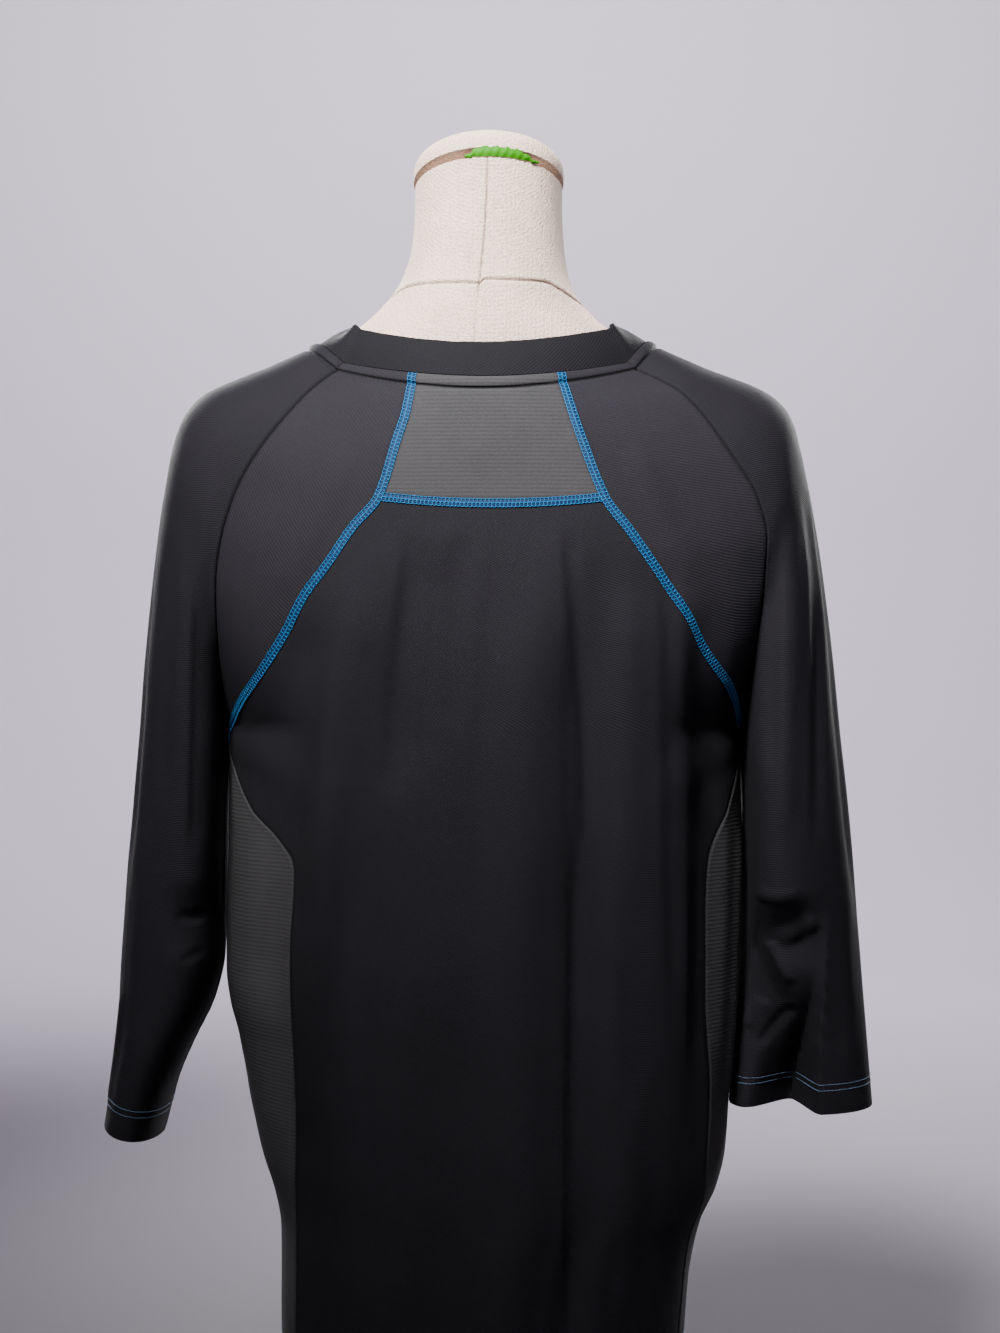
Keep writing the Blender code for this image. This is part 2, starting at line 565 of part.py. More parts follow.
def sleeve_pieces():
    """The raglan sleeves, each cut in one with its shoulder and sewn along the underarm."""
    below = {
        LEFT: [1.09, 1.19, 1.3, 1.4, 1.45, 1.49, 1.54, 1.62, 1.71, 1.8, 1.88],
        RIGHT: [1.09, 1.19, 1.3, 1.39, 1.43, 1.455, 1.48, 1.51, 1.56, 1.65, 1.74, 1.82, 1.89],
    }
    even = 2 * column_share(18) - 1
    # The right sleeve's back has closer columns where its deep valley runs.
    valley = [0.11, 0.2, 0.27, 0.33, 0.38, 0.42, 0.46, 0.5, 0.54, 0.58, 0.64, 0.72, 0.81, 0.9, 1]
    shares = {LEFT: even, RIGHT: np.concatenate([even[:10], valley])}
    for side, name in ((LEFT, "left"), (RIGHT, "right")):
        levels = shifted(UPPER_LEVELS + below[side] + [1.945, 2])
        share = shares[side]
        inset = SEAM_GAP / 2 / (math.pi * 0.06)
        grid = np.broadcast_to(levels[:, None], (len(levels), len(share)))
        turn = np.broadcast_to(share * (1 - inset), grid.shape)
        normals = sleeve_normals(side, grid, turn)
        upper = levels < ARMHOLE_END
        normals[upper, 0] = seam_normals(side, levels[upper], True)
        normals[upper, -1] = seam_normals(side, levels[upper], False)
        wall(f"sleeve_{name}", sleeve_face(side, grid, turn), normals, wall_thickness(grid), "black_knit")


def neck_curve():
    """The neck seam as one closed curve, from the centre back round by the wearer's left."""
    start = np.zeros(12)
    half_back = np.linspace(0, 89.99, 9, endpoint=False)
    front = np.linspace(90.01, 269.99, 22, endpoint=False)
    parts = [
        body_face(start[:9], half_back, False),
        sleeve_face(LEFT, start, np.linspace(1, -1, 12, endpoint=False)),
        body_face(np.zeros(22), np.where(front > 180, front - 360, front), False),
        sleeve_face(RIGHT, start, np.linspace(-1, 1, 12, endpoint=False)),
        body_face(start[:9], half_back - 89.99, False),
    ]
    return np.concatenate(parts)


def collar_piece():
    """The double-folded neckband: a closed ring that leans towards the neck."""
    seam = neck_curve()
    steps = len(seam)
    middle = np.array([seam[:, 0].mean(), 0.0])
    way = seam[:, :2] - middle
    way /= np.linalg.norm(way, axis=1, keepdims=True)
    right = way[:, 0] < 0
    sideways = rise(np.abs(way[:, 0]), np.where(right, 0.93, 0.86), np.where(right, 0.999, 0.99))
    weights = {
        "side": sideways,
        "back": np.where(way[:, 1] > 0, 1 - sideways, 0),
        "front": np.where(way[:, 1] <= 0, 1 - sideways, 0),
    }
    lean = sum(weights[k] * COLLAR[k][0] for k in COLLAR)
    stand = sum(weights[k] * COLLAR[k][1] for k in COLLAR)
    lift = np.array([0, 0, 1.0])
    rise_line = -way * lean[:, None]
    full = np.concatenate([rise_line, stand[:, None]], axis=1)
    length = np.linalg.norm(full, axis=1, keepdims=True)
    direction = full / length
    outward = np.concatenate([way, np.zeros((steps, 1))], axis=1)
    normal = outward - direction * np.sum(outward * direction, axis=1, keepdims=True)
    normal /= np.linalg.norm(normal, axis=1, keepdims=True)
    rows = []
    for step in range(COLLAR_WIDTH_STEPS + 1):
        share = step / COLLAR_WIDTH_STEPS
        bulge = 0.0012 * math.sin(math.pi * share)
        rows.append(seam + lift * SEAM_GAP + direction * SEAM_GAP + full * share + normal * bulge)
    outer = np.array(rows)
    inner = outer - normal * COLLAR_WALL
    ring_wall("collar", outer, inner, "black_rib")


def ring_wall(name, outer, inner, finish):
    """A wall that is closed round: rows of points from the bottom edge to the top edge."""
    rows, columns = outer.shape[:2]
    count = rows * columns
    faces = []
    for j in range(columns):
        k = (j + 1) % columns
        for i in range(rows - 1):
            a, b = i * columns, (i + 1) * columns
            faces.append((a + j, b + j, b + k, a + k))
            faces.append((count + a + j, count + a + k, count + b + k, count + b + j))
        last = (rows - 1) * columns
        faces.append((j, k, count + k, count + j))
        faces.append((last + j, count + last + j, count + last + k, last + k))
    points = np.concatenate([outer.reshape(-1, 3), inner.reshape(-1, 3)])
    return new_object(name, points, faces, finish)


def form_sections(levels, steps):
    """Rings of points of the dress form."""
    angle = np.linspace(0, 2 * math.pi, steps, endpoint=False)
    across, along = np.sin(angle), np.cos(angle)
    rings = []
    for level in levels:
        half, side_z = FORM("half", level), FORM("side_z", level)
        y = np.where(along > 0, FORM("back_y", level), -FORM("front_y", level)) * along
        centre_z = np.where(along > 0, FORM("back_z", level), FORM("front_z", level))
        z = side_z + (centre_z - side_z) * np.abs(along) ** FORM("fall", level)
        rings.append(np.stack([FORM("middle", level) + half * across, y, z], axis=1))
    return rings


def stacked(name, rings, finish):
    """A closed solid through rings of points from top to bottom, with its two ends closed."""
    steps = len(rings[0])
    points = np.concatenate(rings + [rings[0].mean(axis=0)[None], rings[-1].mean(axis=0)[None]])
    faces = []
    for i in range(len(rings) - 1):
        for j in range(steps):
            k = (j + 1) % steps
            faces.append((i * steps + j, i * steps + k, (i + 1) * steps + k, (i + 1) * steps + j))
    top, bottom = len(points) - 2, len(points) - 1
    last = (len(rings) - 1) * steps
    for j in range(steps):
        k = (j + 1) % steps
        faces.append((top, k, j))
        faces.append((bottom, last + j, last + k))
    return new_object(name, points, faces, finish)


def form_body():
    """The limbless dress form: neck, shoulders, chest, waist and hips in one smooth padded body."""
    levels = [0, 1, 2, 2.6, 3.2, 4, 4.5, 5, 5.5, 6, 6.5, 7, 7.5, 8, 8.5, 9, 9.5, 10, 10.7, 11.5]
    levels += [12.3, 13, 14, 15, 16, 17, 18, 19, 19.6, 20]
    return stacked("form_body", form_sections(levels, FORM_STEPS), "form_linen")


def turned_rings(profile, steps, centre=(0.0, 0.0, 0.0), tilt=0.0):
    """Rings of a turned piece from (radius, height) pairs, tipped about X and moved to its place."""
    angle = np.linspace(0, 2 * math.pi, steps, endpoint=False)
    rings = []
    for radius, height in profile:
        flat = np.stack([radius * np.sin(angle), radius * np.cos(angle), np.full(steps, height)], axis=1)
        y = flat[:, 1] * math.cos(tilt) - flat[:, 2] * math.sin(tilt)
        z = flat[:, 1] * math.sin(tilt) + flat[:, 2] * math.cos(tilt)
        rings.append(np.stack([flat[:, 0], y, z], axis=1) + np.array(centre))
    return rings


def rounded_edge(radius, height, corner, steps=4):
    """(radius, height) pairs round a top corner, from the top face outwards."""
    turn = [math.pi / 2 * (1 - i / steps) for i in range(steps + 1)]
    return [(radius - corner + corner * math.cos(a), height - corner + corner * math.sin(a)) for a in turn]


def neck_cap():
    """The padded cap that closes the neck: domed, rounded, and resting on the neck's front edge."""
    dome = [(CAP_RADIUS * 0.30, CAP_HEIGHT + 0.0022), (CAP_RADIUS * 0.56, CAP_HEIGHT + 0.0012)]
    foot = [(CAP_RADIUS, 0.0025), (CAP_RADIUS - 0.0020, 0.0)]
    profile = dome + rounded_edge(CAP_RADIUS, CAP_HEIGHT, 0.0120) + foot
    centre = (0.0010, 0.0, NECK_TOP + CAP_RADIUS * (math.tan(CAP_TILT) - 0.0120 / 0.0570) + REST_GAP)
    return stacked("neck_cap", turned_rings(profile, TURNED_STEPS, centre, CAP_TILT), "form_linen")


def stand():
    """The low stand: a steel pole with a flange under the form, on a round plate."""
    top = FORM_BOTTOM - REST_GAP
    profile = [(FLANGE_RADIUS, top), (FLANGE_RADIUS, top - FLANGE_HEIGHT)]
    profile += [(POLE_RADIUS, top - FLANGE_HEIGHT - 0.008), (POLE_RADIUS, BASE_HEIGHT + REST_GAP)]
    stacked("stand_pole", turned_rings(profile, 28), "stand_steel")
    foot = [(BASE_RADIUS, 0.0015), (BASE_RADIUS - 0.0015, 0.0)]
    profile = rounded_edge(BASE_RADIUS, BASE_HEIGHT, 0.004) + foot
    stacked("stand_base", turned_rings(profile, TURNED_STEPS), "stand_steel")


def main():
    """Clears the scene and builds every piece."""
    for old in list(bpy.data.objects):
        bpy.data.objects.remove(old)
    back_pieces()
    front_piece()
    side_pieces()
    sleeve_pieces()
    collar_piece()
    form_body()
    neck_cap()
    stand()


main()
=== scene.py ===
"""The looks of an athletic raglan top that hangs on a limbless dress form.

Everything is in metres in the frame's own axes: +Z is up, the wearer's back faces +Y and the
wearer's left is +X. The cloth is worked out from sections. A section has a level, 0 at the neck
seam, 1 at the underarm and 2 at the hem or cuff, and each piece of cloth is a thin wall on a grid
of levels and of places round the section.
"""

from __future__ import annotations

import json
import logging
import math
from collections.abc import Callable, Iterator, Sequence
from dataclasses import dataclass, field
from enum import Enum
from functools import partial

import bpy
import numpy as np
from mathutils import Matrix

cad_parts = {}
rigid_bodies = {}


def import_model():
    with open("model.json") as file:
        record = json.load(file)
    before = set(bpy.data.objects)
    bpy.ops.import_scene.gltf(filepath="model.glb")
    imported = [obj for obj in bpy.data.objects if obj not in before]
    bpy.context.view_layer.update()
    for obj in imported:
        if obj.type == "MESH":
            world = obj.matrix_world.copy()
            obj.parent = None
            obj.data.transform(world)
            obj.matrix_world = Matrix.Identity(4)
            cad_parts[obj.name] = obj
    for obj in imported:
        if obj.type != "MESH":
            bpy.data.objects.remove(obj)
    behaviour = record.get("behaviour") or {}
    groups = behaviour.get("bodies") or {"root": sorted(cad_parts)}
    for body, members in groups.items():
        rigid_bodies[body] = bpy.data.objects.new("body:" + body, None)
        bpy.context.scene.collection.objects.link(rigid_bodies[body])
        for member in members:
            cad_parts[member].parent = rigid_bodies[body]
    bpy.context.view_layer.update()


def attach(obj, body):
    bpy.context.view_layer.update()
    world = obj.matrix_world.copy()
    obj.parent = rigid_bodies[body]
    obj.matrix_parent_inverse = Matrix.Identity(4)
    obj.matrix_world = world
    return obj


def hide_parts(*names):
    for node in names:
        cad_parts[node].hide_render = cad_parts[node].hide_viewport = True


Array = np.ndarray
Surface = Callable[[Array, Array], Array]  # points from levels and places round the section
Place = Callable[[Array], Array]  # a place round the section at each level
Colour = tuple[float, float, float]
Socket = bpy.types.NodeSocket
log = logging.getLogger("athletic_top")

BODY = "root"
MM = 0.001

# Levels and heights that the pieces share
YOKE_LEVEL = 0.36
TIP_LEVEL = 0.985
UNDERARM_HEIGHT = 0.652
HEM_HEIGHT = 0.185
BACK_METRIC = 0.26  # metres for each level above the underarm, at the centre back
LOWER_METRIC = UNDERARM_HEIGHT - HEM_HEIGHT
FRONT_START = 1e-6  # degrees past the raglan seams at which the front begins
HEM_SIDE = 1.5  # the end of a piece past this level is a hem
LEAST_STEP = 1.2e-4  # levels, 0.03 to 0.06 mm of cloth
NECK_ROWS_END = 0.34  # the level by which a piece's rows no longer follow the neck seam
SLEEVE_BREAK = (1.36, 1.62, 0.008)  # levels of closer rows, where the empty sleeves break

# Cloth
CLOTH = 0.8 * MM
HEM_CLOTH = 1.8 * MM
HEM_DEPTH = 22 * MM
STITCH_ROWS = (18.0 * MM, 22.4 * MM)  # the two needle rows above a hem's edge
WELT = 8.4 * MM  # the roll of cloth below the collar
ROW_STEP = 3.4 * MM
PUCKER_PITCH = 9.3 * MM
PUCKER_REACH = 6.0 * MM
SEAM_OFFSETS = np.array([0.0, 0.6, 1.3, 2.2, 3.4, 5.2]) * MM  # grid lines beside a seam
CROWDED = 2.4  # seams closer than this many reaches of the offsets draw them together
WELT_ROWS = (0, 0.15, 0.4, 0.8, 1.4, 2.2, 3.2, 4.2, 5.2, 6.2, 7.0, 7.6, 8.0, 8.25)
WELT_ROWS = np.array(WELT_ROWS + (8.4, 8.8, 9.3, 9.9, 10.5, 11.2, 12.2, 13.5)) * MM  # from the neck seam

# The collar band at its back, sides and front: how far it leans in and how high it stands
BAND_LEAN = (13.0 * MM, 26.5 * MM, 17.5 * MM)
BAND_STAND = (26.5 * MM, 14.0 * MM, 21.5 * MM)
BAND_SIDES = ((0.93, 0.86), (0.999, 0.99))  # how sideways its side starts and is full, right and left
BAND_SWELL = 1.2 * MM
BAND_COLUMNS = 360

# Threads and the form
THREAD_SIDES = 6
NECK_TOP = 1.0568  # height of the neck's sloping end at its middle
NECK_HALF, NECK_DEPTH = 0.0552, 0.0570  # half width and half depth of that end
NECK_RISE = 0.0120  # how much higher its back is than its middle
NECK_MIDDLE = 0.0010  # its X
NECK_RADIUS = 0.058  # of the neck above its seam
PLATE_THICKNESS = 12 * MM
AXIS = 0.02 * MM  # the smallest radius of a turned piece, which keeps its quads whole


class Side(Enum):
    """A side of the wearer, with the sign of its X."""

    LEFT = 1
    RIGHT = -1

    @property
    def word(self) -> str:
        """The side's name in the names of pieces."""
        return self.name.lower()


class Edge(Enum):
    """How a piece of cloth ends along one of its edges."""

    PLAIN = 0
    FLAT_SEAM = 1
    SUNK_SEAM = 2


class Facing(Enum):
    """The way a crease faces: the axis its cloth looks along, and the axis it is measured across."""

    BACK = ((0, 1, 0), 0)
    FRONT = ((0, -1, 0), 0)
    LEFT = ((1, 0, 0), 1)
    RIGHT = ((-1, 0, 0), 1)


# Curves and blends


def rise(value: Array, start: float, end: float) -> Array:
    """0 before start, 1 after end, and 3t^2 - 2t^3 between."""
    t = np.clip((value - start) / (end - start), 0, 1)
    return t * t * (3 - 2 * t)


def hump(value: Array, middle: Array | float, width: Array | float) -> Array:
    """(1 - t^2)^2, with t the distance from the middle over the width: 1 there and 0 past it."""
    t = np.clip(np.abs(value - middle) / width, 0, 1)
    return (1 - t * t) ** 2


def unit(vectors: Array) -> Array:
    """Vectors brought to length 1; a zero vector stays zero."""
    length = np.linalg.norm(vectors, axis=-1, keepdims=True)
    return vectors / np.maximum(length, 1e-12)


def lengths_along(points: Array, axis: int = 0) -> Array:
    """Distance along the grid's lines from their first point, summed over straight steps."""
    step = np.linalg.norm(np.diff(points, axis=axis), axis=-1)
    start = np.zeros_like(np.take(step, [0], axis=axis))
    return np.concatenate([start, np.cumsum(step, axis=axis)], axis=axis)


PLAIN_COLUMNS = "level turn open_angle lean power bend front_drop fall".split()  # not lengths


class Sections:
    """A short table of sections, a row for each level, read as smooth curves."""

    def __init__(self, columns: str, *rows: tuple[float, ...]) -> None:
        """Args: columns, the names with the level first; rows, one tuple for each level, with
        lengths in millimetres, which are kept in metres."""
        table = dict(zip(columns.split(), np.array(rows, float).T))
        self.values = {name: cells * (1 if name in PLAIN_COLUMNS else MM) for name, cells in table.items()}
        self.level = self.values.pop(columns.split()[0])

    def __call__(self, column: str, level: Array | float) -> Array:
        """The column at any level, on cubic pieces whose slopes are the harmonic means of the
        pitches on both sides, so that no piece overshoots its rows."""
        knots, values = self.level, self.values[column]
        step = np.diff(knots)
        pitch = np.diff(values) / step
        before, after = pitch[:-1], pitch[1:]
        near, far = step[:-1] + 2 * step[1:], 2 * step[:-1] + step[1:]
        turns = before * after <= 0
        mean = (near + far) / (far / np.where(turns, 1, before) + near / np.where(turns, 1, after))
        slope = np.concatenate([pitch[:1], np.where(turns, 0, mean), pitch[-1:]])
        level = np.clip(level, knots[0], knots[-1])
        row = np.clip(np.searchsorted(knots, level, side="right") - 1, 0, len(step) - 1)
        width = step[row]
        t = (level - knots[row]) / width
        return (
            (1 + 2 * t) * (1 - t) ** 2 * values[row]
            + t * (1 - t) ** 2 * width * slope[row]
            + t * t * (3 - 2 * t) * values[row + 1]
            + t * t * (t - 1) * width * slope[row + 1]
        )


def smooth_line(points: Sequence[tuple[float, ...]], count: int) -> Array:
    """Points on a Catmull-Rom curve through the given ones, evenly spread over its spans."""
    knots = np.array(points, float)
    if len(knots) == 2:
        return knots[0] + (knots[1] - knots[0]) * np.linspace(0, 1, count)[:, None]
    padded = np.concatenate([2 * knots[:1] - knots[1:2], knots, 2 * knots[-1:] - knots[-2:-1]])
    place = np.linspace(0, len(knots) - 1, count)
    span = np.minimum(place.astype(int), len(knots) - 2)
    t = (place - span)[:, None]
    a, b, c, d = (padded[span + k] for k in range(4))
    square, cube = 2 * a - 5 * b + 4 * c - d, 3 * b - a - 3 * c + d
    return 0.5 * (2 * b + (c - a) * t + square * t**2 + cube * t**3)


# The top's form: the same sections as its solids


SLEEVE_COLUMNS = "level outer_x outer_z seam_x back_z front_z back_depth front_depth open_angle lean"
SLEEVES = {
    Side.LEFT: Sections(
        SLEEVE_COLUMNS,
        (0, 128, 941, 105.2, 920, 907, 58.3, 69, 60, 0),
        (0.13, 163, 925, 132.5, 894, 883, 79.3, 80, 68, 0),
        (0.33, 212.5, 904, 168.4, 846.5, 838, 86.3, 85, 80, 0),
        (0.43, 229, 886, 182.6, 818, 811, 85.3, 84.5, 85, 0.05),
        (0.54, 237.5, 861, 191.1, 789.7, 784, 83, 82.5, 92, 0.1),
        (0.64, 243, 833, 195.3, 761, 757, 79, 79, 102, 0.16),
        (0.76, 248.5, 795, 196, 728, 726, 76.5, 76.5, 122, 0.24),
        (0.88, 253.5, 750, 196.2, 692, 691, 75.5, 75.5, 148, 0.32),
        (0.95, 257.5, 710, 196, 669, 669, 75, 75, 166, 0.38),
        (1, 260.5, 670, 195.8, 652, 652, 74.5, 74.5, 180, 0.4),
        (1.2, 266, 608, 198.6, 596, 596, 72.5, 72.5, 180, 0.42),
        (1.4, 271.2, 548, 200, 540, 540, 70, 70, 180, 0.4),
        (1.6, 275.4, 488, 200.8, 483, 483, 68, 67, 180, 0.3),
        (1.7, 277.2, 455, 207, 452, 452, 66, 65, 180, 0.22),
        (1.8, 279.2, 422, 222.2, 420, 420, 63.5, 63, 180, 0.15),
        (1.9, 282.6, 392, 235.8, 386, 387, 60.5, 60, 180, 0.08),
        (2, 286.8, 362, 244.2, 352, 354, 58, 58, 180, 0),
    ),
    Side.RIGHT: Sections(
        SLEEVE_COLUMNS,
        (0, 117, 943, 99, 920, 907, 58.3, 69, 60, 0),
        (0.13, 155, 925.2, 140, 894, 883, 79.3, 80, 68, 0),
        (0.33, 209, 903.2, 174.5, 846.5, 838, 86.3, 85, 80, 0.05),
        (0.43, 225, 886, 191, 818, 811, 85.3, 84.5, 85, 0.1),
        (0.54, 232, 862, 197.5, 789.7, 784, 83, 82.5, 92, 0.15),
        (0.64, 238.5, 833, 196.4, 761, 757, 79, 79, 102, 0.22),
        (0.76, 245, 795, 193.5, 728, 726, 77, 76.5, 122, 0.32),
        (0.88, 251.5, 750, 190.5, 692, 691, 77, 75.5, 148, 0.42),
        (0.95, 256, 710, 189.2, 669, 669, 76.5, 75, 166, 0.46),
        (1, 260, 670, 188.6, 652, 652, 76, 74.5, 180, 0.48),
        (1.2, 267, 608, 190.8, 596, 596, 75, 72.5, 180, 0.5),
        (1.4, 272.5, 548, 191, 544, 544, 73, 70, 180, 0.45),
        (1.6, 277.5, 488, 190, 486, 486, 62, 67, 180, 0.25),
        (1.8, 282.2, 429, 185.6, 429, 429, 52, 64, 180, 0.1),
        (2, 286.8, 373, 180, 373, 373, 46, 60, 180, 0),
    ),
}
TRUNK = Sections(
    "level back_y back_z front_y front_z power bend front_drop",
    (0, 95, 904.6, -108, 850, 2.2, 1, 0.7),
    (0.18, 107.5, 860, -118, 819, 2.2, 1, 0.85),
    (0.36, 116.5, 813.3, -127, 786, 2.2, 1, 1),
    (0.54, 123.5, 769, -134, 750, 2.2, 0.9, 1),
    (0.76, 127.5, 712, -139, 704, 2.3, 0.71, 1),
    (0.88, 128.5, 682, -140.5, 678, 2.35, 0.62, 1),
    (1, 128.5, 652, -141.5, 652, 2.4, 0.555, 1),
    (1.15, 126.8, 582, -141.4, 582, 2.4, 0.51, 1),
    (1.3, 124.5, 511.9, -141, 511.9, 2.4, 0.5, 1),
    (1.6, 123, 371.8, -139.5, 371.8, 2.3, 0.5, 1),
    (2, 129, 185, -142, 185, 2.2, 0.5, 1),
)
UNDERARM = Sections(
    "level depth",
    (0.76, 64.9),
    (0.88, 47),
    (1, 29),
    (1.15, 12.5),
    (1.3, 3),
    (1.45, 0),
)
SIDES = Sections(
    "level left right",
    (1, 195.4, 188.2),
    (1.15, 195.8, 188),
    (1.3, 197.2, 186.2),
    (1.38, 197, 184.6),
    (1.43, 194.2, 183.2),
    (1.48, 188.2, 181.2),
    (1.55, 182.2, 178.8),
    (1.67, 170, 175),
    (1.73, 161.2, 168),
    (1.78, 157, 157),
    (1.84, 156.2, 150),
    (1.92, 156, 146.4),
    (2, 155.8, 143.6),
)
CONTRAST_SEAM = Sections(
    "level left right",
    (0, 53.8, 49.8),
    (0.12, 58.5, 58.5),
    (0.2, 64.5, 65),
    (0.36, 77.2, 80.5),
    (0.45, 95, 96.5),
    (0.55, 111, 113),
    (0.65, 130, 129.5),
    (0.75, 144.5, 146.5),
    (0.85, 160.8, 164.5),
    (0.93, 179, 178),
    (1, 194.5, 187.2),
)
SIDE_SEAM = Sections(
    "level left right",
    (1, 195.4, 188.2),
    (1.03, 193.6, 186.8),
    (1.08, 183.8, 180.5),
    (1.12, 171.2, 173.5),
    (1.157, 155.6, 166),
    (1.195, 142.6, 161),
    (1.215, 141, 160),
    (1.27, 140, 159),
    (1.5, 135.8, 159.2),
    (1.7, 139.2, 156),
    (1.8, 140, 144),
    (2, 139.8, 135),
)

# The large folds: start and end angle, first and last level, half width in degrees, height in mm
LARGE_FOLDS = (
    (24, 44, 0.45, 1.66, 5.5, 5.5),
    (38, 56, 0.62, 1.45, 6, -5),
    (-10, -5, 0.38, 2.2, 5, 6),
    (-22, -24, 0.4, 2.2, 4, -6),
    (-38, -46, 0.55, 1.75, 6.5, 4.5),
    (-52, -60, 0.6, 1.55, 5.5, -4.5),
    (10, 16, 0.45, 1.1, 4.5, -3),
    (8, 14, 1.35, 2.2, 7, -4),
    (172, 176, 0.45, 2.2, 6, 5.5),
    (152, 148, 0.55, 2.2, 6, -6),
    (130, 126, 0.75, 2.1, 7, 6),
    (-148, -152, 0.4, 2.2, 6.5, 6),
    (-165, -166, 0.5, 2.2, 5, -5),
    (-128, -124, 0.75, 1.9, 7, -5.5),
)


@dataclass(frozen=True)
class Crease:
    """A soft ridge or trough along a given line.

    The line's points are (across, height), seen the way the crease faces. Its height stands out
    of the cloth, and is negative in a trough. Widths are how far it reaches on the line's two
    sides, low side of the across axis first. These are in millimetres. Ends are the shares of
    the line that it fades over.
    """

    facing: Facing
    line: tuple[tuple[float, float], ...]
    height: float
    widths: tuple[float, float]
    ends: tuple[float, float] = (0.2, 0.2)

    def lift(self, points: Array, normals: Array) -> Array:
        """How far each point moves: height, times (1 - t^2)^2 of its distance to the line over
        the width on its side, faded towards the line's ends and where the cloth turns away."""
        axis, across = self.facing.value
        line = smooth_line(self.line, 26) * MM
        u, v = points[..., across].ravel(), points[..., 2].ravel()
        start, step = line[:-1], np.diff(line, axis=0)
        rel_u, rel_v = u[:, None] - start[:, 0], v[:, None] - start[:, 1]
        share = (rel_u * step[:, 0] + rel_v * step[:, 1]) / (step**2).sum(axis=1)
        share = np.clip(share, 0, 1)
        off_u, off_v = rel_u - share * step[:, 0], rel_v - share * step[:, 1]
        distance = np.hypot(off_u, off_v)
        nearest = distance.argmin(axis=1)[:, None]
        off_u = np.take_along_axis(off_u, nearest, 1)[:, 0]
        distance = np.take_along_axis(distance, nearest, 1)[:, 0]
        along = (nearest[:, 0] + np.take_along_axis(share, nearest, 1)[:, 0]) / len(step)
        side = rise(off_u, -0.002, 0.002)
        width = (self.widths[0] * (1 - side) + self.widths[1] * side) * MM
        fade = rise(along, 0, self.ends[0]) * (1 - rise(along, 1 - self.ends[1], 1))
        facing = rise((normals * np.array(axis, float)).sum(axis=-1).ravel(), 0.05, 0.45)
        return (self.height * MM * hump(distance, 0, width) * fade * facing).reshape(points.shape[:-1])


def creases(facing: Facing, *rows: tuple[object, ...]) -> tuple[Crease, ...]:
    """Creases that face one way, from rows of line, height, widths and, if need be, ends."""
    return tuple(Crease(facing, *row) for row in rows)


BODY_CREASES = (
    creases(
        Facing.BACK,
        (((52, 800), (58, 740), (66, 660), (70, 600)), -2.2, (16, 10)),
        (((18, 800), (20, 740), (24, 640)), -1.6, (12, 14)),
        (((-55, 800), (-58, 755), (-66, 660), (-68, 560)), -2, (10, 8)),
        (((-60, 600), (-59, 480), (-57, 320), (-58, 215)), -2.4, (10, 7)),
        (((-123, 780), (-126, 680), (-128, 560), (-132, 430)), -2.2, (12, 9)),
        (((-96, 760), (-98, 650), (-100, 520)), 1.6, (16, 16)),
        (((118, 690), (126, 620), (133, 560), (131, 500)), -2.2, (10, 14)),
        (((104, 640), (112, 560), (120, 440)), 1.5, (12, 12)),
        (((-146, 560), (-147, 480), (-146, 400)), -1.8, (8, 8)),
        (((80, 500), (74, 380), (70, 260)), -1.8, (18, 12)),
        (((110, 420), (106, 330), (104, 230)), 1.8, (14, 14)),
        (((-100, 420), (-98, 320), (-94, 230)), 2, (16, 12)),
        (((118, 580), (152, 628), (194, 650)), 2.2, (26, 20), (0.5, 0.1)),
        (((-112, 586), (-146, 628), (-187, 650)), 2.2, (20, 26), (0.5, 0.1)),
        (((95, 860), (120, 800), (150, 745)), 1.2, (14, 14)),
        (((-98, 860), (-122, 805), (-148, 755)), 1.1, (14, 16)),
    )
    + creases(
        Facing.FRONT,
        (((30, 800), (34, 700), (40, 560)), -2.2, (14, 10)),
        (((-40, 820), (-52, 700), (-56, 540), (-60, 400)), -2.4, (10, 14)),
        (((100, 780), (112, 680), (124, 580)), -2, (12, 10)),
        (((-108, 790), (-120, 690), (-128, 560)), 2, (12, 14)),
        (((75, 560), (80, 420), (78, 250)), -2.2, (12, 16)),
        (((-20, 520), (-16, 380), (-14, 230)), 1.8, (16, 12)),
        (((-110, 480), (-104, 360), (-100, 240)), -2, (14, 12)),
        (((140, 740), (155, 700), (170, 670)), -1.4, (8, 8)),
        (((-136, 745), (-152, 705), (-166, 675)), -1.4, (8, 8)),
    )
    + creases(
        Facing.LEFT,
        (((30, 600), (26, 500), (22, 380)), -2.2, (12, 10)),
        (((-34, 580), (-38, 460), (-32, 330)), 2.2, (12, 14)),
        (((6, 420), (10, 320), (6, 230)), -1.8, (12, 12)),
    )
    + creases(
        Facing.RIGHT,
        (((28, 590), (30, 480), (24, 360)), 2.2, (12, 12)),
        (((16, 600), (17, 470), (16, 350)), 2.4, (22, 22), (0.16, 0.35)),
        (((-30, 570), (-28, 450), (-36, 330)), -2.2, (14, 10)),
        (((-4, 430), (2, 330), (-2, 230)), 1.6, (12, 12)),
    )
)
